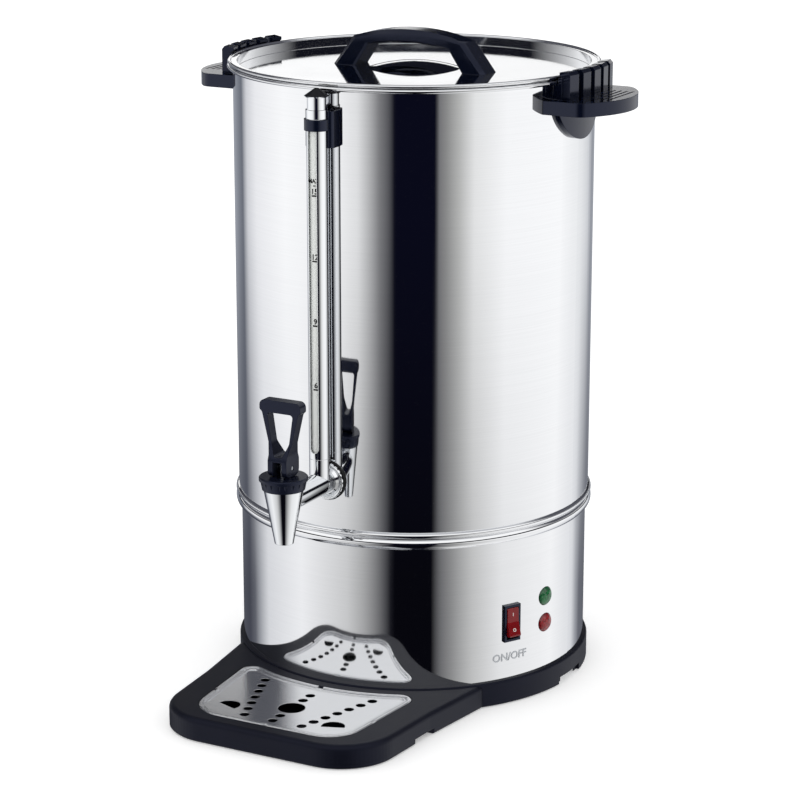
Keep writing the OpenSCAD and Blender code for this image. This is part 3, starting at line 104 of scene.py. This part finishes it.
def moulding(name, dark, light, flow, sheen, grain, depth, edge, ior, gloss, cast="#FFFFFF"):
    """A moulded plastic or rubber: two tones that follow the melt's flow, and a grain."""
    material, tree = bare_material(name)
    place = add(tree, "ShaderNodeTexCoord").outputs["Object"]
    melt = noise(tree, place, flow, detail=3.0)
    pits = noise(tree, place, grain, detail=2.0)
    coat(
        tree,
        {
            "Base Color": mixed(tree, melt, linear(dark), linear(light)),
            "Roughness": remap(tree, melt, target=sheen),
            "IOR": ior,
            "Specular IOR Level": gloss,
            "Specular Tint": linear(cast),
            "Normal": grained(tree, pits, depth, strength=0.3, edge=edge),
        },
    )
    return material


def dress(material, *names):
    """Gives CAD nodes their finish."""
    for name in names:
        nodes[name].data.materials.clear()
        nodes[name].data.materials.append(material)


# Moulded ABS: a dull black with a blue cast, and a soft sheen that the grain breaks
# up. The real grain is 0.3 mm; it is drawn at 0.9 mm so that it shows.
moulded_abs = moulding(
    "moulded_abs_black",
    dark="#090A13",
    light="#11131F",
    flow=0.045,
    sheen=(0.36, 0.48),
    grain=0.0009,
    depth=0.00004,
    edge=0.0012,
    ior=1.53,
    gloss=0.17,
    cast="#D6DCFF",
)
dress(moulded_abs, "base_ring")


# Feet: discs of soft black nitrile rubber, pressed into seats under the base plate.
# The tap's washers and the gauge's seals are cut from the same rubber, which
# scatters light and so stays matt and a little grey.
nitrile_rubber = moulding(
    "nitrile_rubber",
    dark="#0D0D0F",
    light="#161618",
    flow=0.006,
    sheen=(0.6, 0.75),
    grain=0.0012,
    depth=0.00005,
    edge=0.0004,
    ior=1.52,
    gloss=0.4,
)
dress(nitrile_rubber, "base_feet", "shank_washers", "gauge_seals")


# Base plate, heat shield, vessel floor and percolator set: pressed from stainless
# sheet and left as it came from the rolls. The plate closes the base ring from below,
# and the percolator set stands loose on the floor, under the lid.


def stretched(tree, place, sizes):
    """A place counted in patches of the size (x, y, z) given."""
    scale = [1 / size for size in sizes]
    return add(tree, "ShaderNodeMapping", {"Vector": place, "Scale": scale}).outputs["Vector"]


def worked_metal(name, colour, mark, sheen, depth, edge):
    """A bare metal: marks of the size (x, y, z) given move its roughness and its surface."""
    material, tree = bare_material(name)
    place = add(tree, "ShaderNodeTexCoord").outputs["Object"]
    marks = noise(tree, stretched(tree, place, mark), 1.0, detail=3.0)
    coat(
        tree,
        {
            "Base Color": linear(colour),
            "Metallic": 1.0,
            "Roughness": remap(tree, marks, target=sheen),
            "Normal": grained(tree, marks, depth, strength=0.2, edge=edge),
        },
    )
    return material


# Rolled stainless steel: a satin grey, duller than the outside, with roll lines along
# one axis.
rolled_steel = worked_metal(
    "rolled_stainless_steel",
    colour="#BFC1C3",
    mark=(0.0016, 0.08, 0.0016),
    sheen=(0.24, 0.34),
    depth=0.000008,
    edge=0.0003,
)
dress(rolled_steel, "base_plate", "heat_shield", "vessel_floor")
dress(rolled_steel, "pump_foot", "percolator_tube", "coffee_basket", "basket_lid")


# Screws, bolts, stem and pins: steel, turned or cold-headed, and zinc plated, which
# gives a bluish grey metal with a slight cloud in it.
zinc_plate = worked_metal(
    "zinc_plated_steel",
    colour="#B4B8BE",
    mark=(0.003, 0.003, 0.003),
    sheen=(0.24, 0.38),
    depth=0.00002,
    edge=0.0003,
)
dress(zinc_plate, "base_screws", "handle_screws", "bracket_screw", "lid_handle_screws")
dress(zinc_plate, "tie_bolts", "tap_stem", "lever_pin")


# Heater: a cast aluminium plate under the floor with a sheathed element in it. The
# sand of the mould leaves aluminium dull and pitted.
cast_aluminium = worked_metal(
    "cast_aluminium",
    colour="#A9ABAD",
    mark=(0.0014, 0.0014, 0.0014),
    sheen=(0.42, 0.6),
    depth=0.0001,
    edge=0.0005,
)
dress(cast_aluminium, "heater_plate", "heating_element")


# Thermostat, cut-out, terminal block and lamp nuts: pressed and fired from steatite,
# a warm white ceramic with a faint speckle.
fired_steatite = moulding(
    "fired_steatite",
    dark="#D9D5C8",
    light="#EAE6DA",
    flow=0.004,
    sheen=(0.4, 0.5),
    grain=0.001,
    depth=0.00003,
    edge=0.0004,
    ior=1.55,
    gloss=0.5,
)
dress(fired_steatite, "thermostat", "cutout", "terminal_block", "lamp_nuts")


# Shank nut and earth stud: turned from brass bar. The nut holds the tap's shank from
# inside the vessel. The brass is yellow, and cloudy where it has tarnished.
turned_brass = worked_metal(
    "turned_brass",
    colour="#C7A45C",
    mark=(0.005, 0.005, 0.005),
    sheen=(0.22, 0.4),
    depth=0.00002,
    edge=0.0003,
)
dress(turned_brass, "shank_nut", "earth_stud")


# Vessel wall, bead band and skirt: stainless sheet rolled into tubes, polished and
# then brushed round the body. The bead is swaged over the seam of the two tubes.


def calc(tree, operation, *values):
    """One sum on values or sockets."""
    inputs = dict(enumerate(values))
    return add(tree, "ShaderNodeMath", inputs, operation=operation).outputs["Value"]


# Brushed stainless steel: fine lines round the wall draw reflections out up and
# down, and barely sideways. Real lines are 0.1 mm apart; they are drawn 0.9 mm
# apart so that they show.
brush_line = 0.0009
brush_run = 0.12
polish_patch = 0.05
brushed_steel, tree = bare_material("brushed_stainless_steel")
place = add(tree, "ShaderNodeTexCoord").outputs["Object"]
lines = noise(tree, stretched(tree, place, (brush_run, brush_run, brush_line)), 1.0, detail=4.0)
patch = noise(tree, place, polish_patch, detail=2.0)
wear = calc(tree, "MULTIPLY", lines, patch)
relief = add(tree, "ShaderNodeBump", {"Strength": 0.02, "Distance": 0.00002, "Height": lines})
round_axis = add(tree, "ShaderNodeTangent", direction_type="RADIAL", axis="Z")
coat(
    tree,
    {
        "Base Color": mixed(tree, lines, linear("#E0E1E3"), linear("#E8E9EB")),
        "Metallic": 1.0,
        "Roughness": remap(tree, wear, source=(0.1, 0.45), target=(0.03, 0.06)),
        "Anisotropic": 0.5,
        "Anisotropic Rotation": 0.25,
        "Tangent": round_axis.outputs["Tangent"],
        "Normal": relief.outputs["Normal"],
    },
)
dress(brushed_steel, "vessel_wall", "bead_band", "skirt")


# Side handles: compression mouldings in black phenolic resin, each with a comb of
# ribs that keeps the hand off the hot wall, screwed through the wall from inside.


def round_off(name, radius):
    """Rounds a moulding's sharp edges, as its mould does."""
    piece = nodes[name]
    piece.modifiers.new("joined", "WELD").merge_threshold = 0.00001
    flat = piece.modifiers.new("flat_faces", "DECIMATE")
    flat.decimate_type = "DISSOLVE"
    flat.angle_limit = math.radians(0.5)
    edges = piece.modifiers.new("round_edges", "BEVEL")
    edges.width = radius
    edges.segments = 3
    edges.limit_method = "ANGLE"
    edges.angle_limit = math.radians(32)
    piece.modifiers.new("even_shading", "WEIGHTED_NORMAL").weight = 50


# Phenolic resin: black with a blue cast, and the gloss of a polished mould, with
# faint clouds where the resin flowed.
phenolic_resin = moulding(
    "moulded_phenolic_black",
    dark="#060A16",
    light="#0A0F1F",
    flow=0.03,
    sheen=(0.08, 0.16),
    grain=0.0016,
    depth=0.00001,
    edge=0.0006,
    ior=1.54,
    gloss=0.36,
    cast="#D2DAFF",
)
dress(phenolic_resin, "handle_left", "handle_right", "cord_gland", "switch_housing")
handle_edge = 0.0007
round_off("handle_left", handle_edge)
round_off("handle_right", handle_edge)


# Tap: a cast and turned brass body with its round nut, buffed and chrome plated. Its
# shank goes through the wall. Chrome mirrors everything with a faint blue cast.
chrome_colour = "#E6E8EA"
chrome_sheen = (0.02, 0.06)
chrome_plate = worked_metal(
    "chrome_plated_brass",
    colour=chrome_colour,
    mark=(0.012, 0.012, 0.012),
    sheen=chrome_sheen,
    depth=0.00001,
    edge=0.0005,
)
dress(chrome_plate, "tap_body", "tap_flange")


# Tap seat: a cup moulded in silicone rubber on the foot of the stem, which seals the
# outlet and is the tap's own spring. Silicone is a milky, warm white with no shine.
silicone_rubber = moulding(
    "moulded_silicone_rubber",
    dark="#CFC8BC",
    light="#E0DACF",
    flow=0.004,
    sheen=(0.45, 0.6),
    grain=0.001,
    depth=0.00002,
    edge=0.0003,
    ior=1.41,
    gloss=0.4,
)
dress(silicone_rubber, "seat_cup")


# Tap bonnet and lever: mouldings in black glass-filled nylon. The bonnet screws on
# the tap's neck, and the lever hooks over a pin through the stem. The glass gives
# nylon a grey, silky surface.
filled_nylon = moulding(
    "glass_filled_nylon_black",
    dark="#0A0D1A",
    light="#121626",
    flow=0.012,
    sheen=(0.26, 0.36),
    grain=0.0008,
    depth=0.00002,
    edge=0.0006,
    ior=1.53,
    gloss=0.3,
    cast="#D2DAFF",
)
dress(filled_nylon, "tap_bonnet", "tap_lever")
lever_edge = 0.0017
round_off("tap_lever", lever_edge)


# Gauge: a slotted chrome tube that stands in the tap's socket and guards a drawn
# glass tube, with a turned cap above and a resin bracket that holds it to the wall.
dress(chrome_plate, "gauge_shield")
dress(phenolic_resin, "gauge_bracket")
bracket_edge = 0.0008
round_off("gauge_bracket", bracket_edge)

# Chrome plate with a black tip: the cap's neck mirrors like the shield, and the cone above it is
# painted near black with only a soft gloss, a painted reflection of dark overhead.
tip_height = 0.0057
cap_top = max(vertex.co.z for vertex in nodes["gauge_cap"].data.vertices)
polish_cloud = 0.004
dark_tip_haze = 0.3
cap_finish, tree = bare_material("chrome_plated_brass_painted_dark_tip")
place = add(tree, "ShaderNodeTexCoord").outputs["Object"]
level = add(tree, "ShaderNodeSeparateXYZ", {"Vector": place}).outputs["Z"]
# Painted reflection: the cone above this height is coloured near black.
painted_dark_tip = calc(tree, "GREATER_THAN", level, cap_top - tip_height)
cloud = noise(tree, place, polish_cloud, detail=2.0)
shine = remap(tree, cloud, target=chrome_sheen)
coat(
    tree,
    {
        # The near-black colour of the cone is a painted reflection of dark overhead.
        "Base Color": mixed(tree, painted_dark_tip, linear(chrome_colour), linear("#08090E")),
        "Metallic": calc(tree, "SUBTRACT", 1.0, painted_dark_tip),
        "Roughness": calc(tree, "MULTIPLY_ADD", painted_dark_tip, dark_tip_haze, shine),
        "Specular IOR Level": 0.2,
    },
)
dress(cap_finish, "gauge_cap")

# Drawn glass with a faint green tint and a sharp gloss. Its milky near-white colour is painted
# light: it stands in for the bright light that comes through and back off its thin wall.
glass_wave = 0.02
glass_draw = 0.25
drawn_glass_painted_light, tree = bare_material("drawn_borosilicate_glass")
place = add(tree, "ShaderNodeTexCoord").outputs["Object"]
waves = noise(tree, stretched(tree, place, (glass_wave, glass_wave, glass_draw)), 1.0, detail=1.0)
coat(
    tree,
    {
        # Painted light: the near-white colour stands in for light seen through the glass.
        "Base Color": mixed(tree, waves, linear("#F1F6F1"), linear("#FFFFFF")),
        "Roughness": 0.03,
        "IOR": 1.47,
        "Alpha": 0.8,
    },
)
dress(drawn_glass_painted_light, "gauge_glass")


def put_in_scene(name, data):
    """A new object in the scene."""
    piece = bpy.data.objects.new(name, data)
    bpy.context.scene.collection.objects.link(piece)
    return piece


def strip(name, width, height, depth, steps):
    """A flat bar in the X Y plane, cut into steps along X so that it can be bent."""
    corners, faces = [], []
    for i in range(steps + 1):
        x = width * (i / steps - 0.5)
        corners += [(x, -height / 2, -depth / 2), (x, height / 2, -depth / 2)]
        corners += [(x, height / 2, depth / 2), (x, -height / 2, depth / 2)]
    for i in range(steps):
        for k in range(4):
            a, b = 4 * i + k, 4 * i + (k + 1) % 4
            faces.append((a, a + 4, b + 4, b))
    faces += [(0, 1, 2, 3), tuple(4 * steps + k for k in (3, 2, 1, 0))]
    mesh = bpy.data.meshes.new(name)
    mesh.from_pydata(corners, [], faces)
    return put_in_scene(name, mesh)


def letters(name, words, height, depth):
    """A mesh of raised words in the X Y plane, centred on its foot."""
    capital_share = 0.7
    stroke_swell = 0.00012
    curve = bpy.data.curves.new(name, "FONT")
    curve.body = words
    curve.size = height / capital_share
    curve.align_x = "CENTER"
    curve.extrude = depth / 2
    curve.offset = stroke_swell
    curve.resolution_u = 3
    scratch = put_in_scene(name, curve)
    bpy.context.view_layer.update()
    depsgraph = bpy.context.evaluated_depsgraph_get()
    mesh = bpy.data.meshes.new_from_object(scratch.evaluated_get(depsgraph))
    mesh.name = name
    bpy.data.objects.remove(scratch)
    bpy.data.curves.remove(curve)
    return put_in_scene(name, mesh)


def wrap(piece, axis, radius, azimuth, z):
    """Bends a flat piece round an upright axis: X runs round it, Y goes up, Z stands out."""
    for vertex in piece.data.vertices:
        along, up, out = vertex.co
        turn = math.radians(azimuth) + along / radius
        reach = radius + out
        x = axis[0] + reach * math.sin(turn)
        y = axis[1] - reach * math.cos(turn)
        vertex.co = (x, y, z + up)
    piece.data.update()


def mount(piece, material, body):
    """Gives a piece its finish, and fixes it to a body of the frame."""
    piece.data.materials.append(material)
    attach(piece, body)


# Black enamel: level marks fired on the glass where the slot shows it, dull black.
black_enamel = moulding(
    "fired_black_enamel",
    dark="#07070A",
    light="#0E0E12",
    flow=0.004,
    sheen=(0.3, 0.45),
    grain=0.001,
    depth=0.00001,
    edge=0.0001,
    ior=1.5,
    gloss=0.3,
)
gauge_axis = (0.0, -0.154)
glass_radius = 0.006
mark_lift = 0.00012
mark_out = glass_radius + mark_lift
mark_turn = 9.0
mark_depth = 0.0002
first_litres = 6
last_litres = 15
litre_step = 3
first_level = 0.2608
litre_rise = 0.0165
figure_gap = 0.0014
for litres in range(first_litres, last_litres + 1, litre_step):
    level = first_level + (litres - first_litres) * litre_rise
    line = strip(f"gauge_line_{litres}", width=0.0044, height=0.0011, depth=mark_depth, steps=10)
    wrap(line, gauge_axis, mark_out, mark_turn, level)
    figure = letters(f"gauge_figure_{litres}", str(litres), height=0.0040, depth=mark_depth)
    wrap(figure, gauge_axis, mark_out, mark_turn, level + figure_gap)
    mount(line, black_enamel, "urn")
    mount(figure, black_enamel, "urn")
full_level = 0.4169
full_word_gap = 0.0021
full_word_turn = mark_turn - 6
full_line = strip("gauge_line_full", width=0.0018, height=0.0008, depth=mark_depth, steps=6)
wrap(full_line, gauge_axis, mark_out, mark_turn, full_level)
mount(full_line, black_enamel, "urn")
full_word = letters("gauge_word_full", "MAX", height=0.003, depth=mark_depth)
wrap(full_word, gauge_axis, mark_out, full_word_turn, full_level + full_word_gap)
mount(full_word, black_enamel, "urn")


# Switch: a rocker moulded in red polycarbonate that snaps into a black frame in the
# skirt. The resin is clear, so its faces look deep and its edges bright.
red_resin = moulding(
    "moulded_polycarbonate_red",
    dark="#5E060B",
    light="#860C14",
    flow=0.006,
    sheen=(0.12, 0.2),
    grain=0.002,
    depth=0.00001,
    edge=0.0006,
    ior=1.58,
    gloss=0.28,
)
dress(red_resin, "switch_rocker")

# White print: the two signs on the rocker's faces, rubbed a little thin.
white_print = moulding(
    "screen_print_white",
    dark="#C9C3BE",
    light="#E4DFDA",
    flow=0.0012,
    sheen=(0.4, 0.55),
    grain=0.0006,
    depth=0.00001,
    edge=0.0001,
    ior=1.5,
    gloss=0.4,
)
skirt_radius = 0.140
frame_half_width = 0.00665
hinge_depth = 0.003
switch_turn = math.radians(60.9)
switch_height = 0.066
rocker_tilt = math.radians(10)
rocker_waist = 0.0060
face_rise = 1.6
face_run = 10.3
face_slope = math.atan2(face_rise, face_run)
sign_height = 0.0026
sign_rise = 0.0062
sign_lift = 0.00005
face_out = rocker_waist + sign_rise * math.tan(face_slope) + sign_lift
hinge_reach = math.sqrt(skirt_radius**2 - frame_half_width**2) - hinge_depth
turn = Matrix.Rotation(switch_turn - math.pi / 2, 4, "Z")
tilt = Matrix.Rotation(-rocker_tilt, 4, "Y")
hinge = turn @ Matrix.Translation((hinge_reach, 0, switch_height)) @ tilt
stand = Matrix(((0, 0, 1, 0), (1, 0, 0, 0), (0, 1, 0, 0), (0, 0, 0, 1)))
centre = Matrix.Translation((0, 0, -sign_height / 2))
for sign, side in (("I", 1), ("O", -1)):
    print_piece = letters("switch_sign_" + sign, sign, height=sign_height, depth=0.00012)
    lean = Matrix.Rotation(side * face_slope, 4, "Y")
    seat = Matrix.Translation((face_out, 0, side * sign_rise)) @ lean @ centre
    print_piece.data.transform(hinge @ seat @ stand)
    mount(print_piece, white_print, "rocker")


# Lamps: two lenses moulded in coloured polycarbonate, each held by a nut behind the skirt. Small
# prisms inside break up the light; their cells are painted into the colour as painted sparkle,
# and the rim is darkened with painted shade, where the resin is seen edge on.
prism_pitch = 0.0017
painted_rim_shade_span = (0.0045, 0.0085)
lamp_turn = math.radians(75.8)
lamp_out = 0.1434
for lens, lamp_height, dark, light in (
    ("ready_lamp", 0.0797, "#06331A", "#1F7A43"),
    ("heat_lamp", 0.0577, "#4E060B", "#A41A20"),
):
    lens_resin, tree = bare_material("prismatic_resin_" + lens)
    place = add(tree, "ShaderNodeTexCoord").outputs["Object"]
    inputs = {"Vector": place, "Scale": 1 / prism_pitch}
    prisms = add(tree, "ShaderNodeTexVoronoi", inputs).outputs["Distance"]
    tip = (lamp_out * math.sin(lamp_turn), -lamp_out * math.cos(lamp_turn), lamp_height)
    from_tip = add(tree, "ShaderNodeVectorMath", {0: place, 1: tip}, operation="DISTANCE")
    # Painted shade: the lens darkens towards its rim.
    painted_rim_shade = remap(tree, from_tip.outputs["Value"], source=painted_rim_shade_span)
    # Painted sparkle and shade: the prism cells and the dark rim both darken the colour.
    painted_shade_and_sparkle = calc(tree, "MAXIMUM", painted_rim_shade, prisms)
    relief = add(tree, "ShaderNodeBump", {"Strength": 0.6, "Distance": 0.0003, "Height": prisms})
    coat(
        tree,
        {
            "Base Color": mixed(tree, painted_shade_and_sparkle, linear(light), linear(dark)),
            "Roughness": 0.12,
            "IOR": 1.58,
            "Normal": relief.outputs["Normal"],
        },
    )
    dress(lens_resin, lens)


# Words under the switch: bitten into the skirt's own stainless sheet with acid, which
# leaves the steel a matt grey.
etched_steel = worked_metal(
    "etched_stainless_steel",
    colour="#C8CBCF",
    mark=(0.0006, 0.0006, 0.0006),
    sheen=(0.5, 0.6),
    depth=0.00002,
    edge=0.0001,
)
words_turn = 60.6
words_foot = 0.0352
switch_words = letters("switch_words", "ON/OFF", height=0.0062, depth=0.0006)
wrap(switch_words, (0.0, 0.0), skirt_radius, words_turn, words_foot)
mount(switch_words, etched_steel, "urn")


# Lid: a spun stainless pan with a raised middle, polished, under a bridge handle of
# the same resin as the side handles, held by two screws. The polish mirrors the room
# with only a slight haze.
polished_steel = worked_metal(
    "polished_stainless_steel",
    colour="#E4E5E7",
    mark=(0.05, 0.05, 0.05),
    sheen=(0.04, 0.09),
    depth=0.00001,
    edge=0.0004,
)
dress(polished_steel, "lid_pan")
dress(phenolic_resin, "lid_handle")
lid_handle_edge = 0.0012
round_off("lid_handle", lid_handle_edge)


# Drip tray: a moulding in the base ring's ABS that hooks under the ring by two
# tongues and stands on rubber pads.
dress(moulded_abs, "drip_tray")
dress(nitrile_rubber, "tray_pads")


# Grille: a stainless pressing with a beaded border and drain holes that lies in the
# tray. It is brushed along its length, which gives it a soft streaked gloss.
brushed_sheet = worked_metal(
    "brushed_stainless_sheet",
    colour="#DFE0E2",
    mark=(0.06, 0.0012, 0.01),
    sheen=(0.18, 0.23),
    depth=0.000001,
    edge=0.0005,
)
dress(brushed_sheet, "drip_grille")


# Studio: a white floor that keeps the shadow, and a white room with a dark gap where
# the photographer stands. Polished metal shows that room, seen from the camera's side.


def backing(name, corners, paint):
    """A flat sheet of the studio."""
    mesh = bpy.data.meshes.new(name)
    mesh.from_pydata(corners, [], [(0, 1, 2, 3)])
    mesh.materials.append(paint)
    return put_in_scene(name, mesh)


# Floor paint: matt white, lifted a little for the camera alone so that it meets the
# backdrop without an edge.
white = linear("#FFFFFF")
floor_lift = 0.28
floor_end = 9
floor_paint, tree = bare_material("white_floor")
path = add(tree, "ShaderNodeLightPath")
matt = add(tree, "ShaderNodeBsdfDiffuse", {"Color": linear("#F6F6F6")})
lift = calc(tree, "MULTIPLY", path.outputs["Is Camera Ray"], floor_lift)
glow = add(tree, "ShaderNodeEmission", {"Color": white, "Strength": lift})
lit = add(tree, "ShaderNodeAddShader", {0: matt.outputs["BSDF"], 1: glow.outputs["Emission"]})
add(tree, "ShaderNodeOutputMaterial", {"Surface": lit.outputs["Shader"]})
floor_corners = [
    (-floor_end, -floor_end, 0),
    (floor_end, -floor_end, 0),
    (floor_end, floor_end, 0),
    (-floor_end, floor_end, 0),
]
floor = backing("floor", floor_corners, floor_paint)
floor.visible_glossy = False
floor.visible_transmission = False

# A white card hangs behind the urn, where the grille mirrors it and the walls do not.
card_left, card_right = -1.3, -0.3
card_foot, card_top = 0.55, 0.69
card_back = 1.2
card_paint, tree = bare_material("white_card")
card_glow = add(tree, "ShaderNodeEmission", {"Color": white, "Strength": 1.1})
add(tree, "ShaderNodeOutputMaterial", {"Surface": card_glow.outputs["Emission"]})
card_corners = [
    (card_left, card_back, card_foot),
    (card_right, card_back, card_foot),
    (card_right, card_back, card_top),
    (card_left, card_back, card_top),
]
card = backing("card", card_corners, card_paint)
card.visible_camera = False
card.visible_diffuse = False
card.visible_shadow = False

# The room is plain white to the camera and to matt surfaces; only mirrors see its screens.
# It isn't sampled as a lamp, because satin metal would then be lit by the plain white.
view_turn = 28.07
world = bpy.data.worlds.new("white_room")
bpy.context.scene.world = world
world.use_nodes = True
world.cycles.sampling_method = "NONE"
tree = world.node_tree
tree.nodes.clear()
place = add(tree, "ShaderNodeTexCoord").outputs["Generated"]
turned = add(
    tree,
    "ShaderNodeVectorRotate",
    {"Vector": place, "Angle": math.radians(-view_turn)},
    rotation_type="Z_AXIS",
)
axes = add(tree, "ShaderNodeSeparateXYZ", {"Vector": turned.outputs["Vector"]})
height = axes.outputs["Z"]
ahead = calc(tree, "MULTIPLY", axes.outputs["Y"], -1.0)
bearing = calc(tree, "ARCTAN2", axes.outputs["X"], ahead)
round_share = remap(tree, bearing, source=(-math.pi, math.pi))


def sweep(stops):
    """A colour ramp round the room: stops are bearings in degrees, with hex colours."""
    ramp = add(tree, "ShaderNodeValToRGB", {"Fac": round_share})
    points = ramp.color_ramp.elements
    while len(points) < len(stops):
        points.new(0.5)
    for point, (degrees, colour) in zip(points, stops):
        point.position = (degrees + 180) / 360
        point.color = linear(colour)
    return ramp.outputs["Color"]


# What the upper wall mirrors, just below the horizon: white screens on both sides, grey
# where they end behind the urn, and a dark gap in front, where the camera stands.
middle_room = sweep(
    [
        (-180, "#9A9DA5"),
        (-160, "#8C9099"),
        (-142, "#6A6E78"),
        (-133, "#D0D1D5"),
        (-120, "#EEEEF0"),
        (-90, "#FFFFFF"),
        (-50, "#F6F6F6"),
        (-36, "#E4E4E4"),
        (-22, "#7E7E80"),
        (-16, "#56565A"),
        (-12.5, "#0A0B1A"),
        (13.4, "#0A0B1A"),
        (15.4, "#767678"),
        (20, "#8E8E8D"),
        (28, "#B8B8B6"),
        (38, "#E8E8E7"),
        (60, "#FCFCFC"),
        (105, "#FFFFFF"),
        (132, "#EAEBEC"),
        (149, "#C8CACE"),
        (157, "#90939B"),
        (180, "#9A9DA5"),
    ]
)
# What the skirt mirrors, further down: the floor, duller, and darker towards the back.
bottom_room = sweep(
    [
        (-180, "#50525A"),
        (-145, "#444650"),
        (-134, "#60626A"),
        (-124, "#A8AAAF"),
        (-114, "#D8D9DC"),
        (-80, "#F2F2F3"),
        (-45, "#CCCCCC"),
        (-34, "#AAAAAA"),
        (-20, "#565659"),
        (-15.5, "#1A1A20"),
        (-13, "#07070D"),
        (11.5, "#07070D"),
        (17.5, "#6C6C6E"),
        (25, "#8E8E8E"),
        (39, "#C2C2C1"),
        (60, "#E8E8E8"),
        (104, "#F8F8F8"),
        (132, "#DCDDE0"),
        (140, "#A0A2A8"),
        (149, "#686A72"),
        (180, "#50525A"),
    ]
)
skirt_to_wall = (-0.33, -0.20)
lower = mixed(tree, remap(tree, height, source=skirt_to_wall), bottom_room, middle_room)

# Above the horizon the room is dark in front, and behind it has a white band that the
# flat of the lid mirrors. Higher up are the front lamp, grey screens at the sides, a
# dark one straight behind and a pale ceiling.
back_turn = (math.radians(85), math.radians(140))
lamp_end_turn = (math.radians(82), math.radians(104))
screen_turn = (math.radians(154), math.radians(168))
band_foot = (0.11, 0.128)
band_top = (0.158, 0.175)
lamp_foot = (0.23, 0.28)
ceiling_foot = (0.70, 0.80)
horizon = (-0.02, 0.02)
dark = linear("#14151D")
side_grey = linear("#55565D")
ceiling_grey = linear("#C6C7CA")
spread = calc(tree, "ABSOLUTE", bearing)
to_back = remap(tree, spread, source=back_turn)
past_lamp = remap(tree, spread, source=lamp_end_turn)
to_screen = remap(tree, spread, source=screen_turn)
band = mixed(tree, remap(tree, height, source=band_foot), dark, white)
low_room = mixed(tree, to_back, dark, band)
high_room = mixed(tree, past_lamp, white, mixed(tree, to_screen, side_grey, dark))
front_rise = remap(tree, height, source=lamp_foot)
back_rise = remap(tree, height, source=band_top)
walls = mixed(tree, mixed(tree, to_back, front_rise, back_rise), low_room, high_room)
upper = mixed(tree, remap(tree, height, source=ceiling_foot), walls, ceiling_grey)
room = mixed(tree, remap(tree, height, source=horizon), lower, upper)

mirror_gain = 1.2
path = add(tree, "ShaderNodeLightPath")
glossy, passed = path.outputs["Is Glossy Ray"], path.outputs["Is Transmission Ray"]
mirrored = calc(tree, "MAXIMUM", glossy, passed)
gain = remap(tree, mirrored, target=(1.0, mirror_gain))
seen = mixed(tree, mirrored, white, room)
backdrop = add(tree, "ShaderNodeBackground", {"Color": seen, "Strength": gain})
add(tree, "ShaderNodeOutputWorld", {"Surface": backdrop.outputs["Background"]})

bpy.context.scene.view_settings.view_transform = "Standard"

# Camera: a long lens a little above the lid, to the right of the tap.
camera_drop = 15.36
camera_data = bpy.data.cameras.new("camera")
camera_data.sensor_width = 36.0
camera_data.lens = 120.6
camera = put_in_scene("camera", camera_data)
camera.location = (0.9751, -1.8521, 0.789)
camera.rotation_euler = (math.radians(90 - camera_drop), 0.0, math.radians(view_turn))
bpy.context.scene.camera = camera
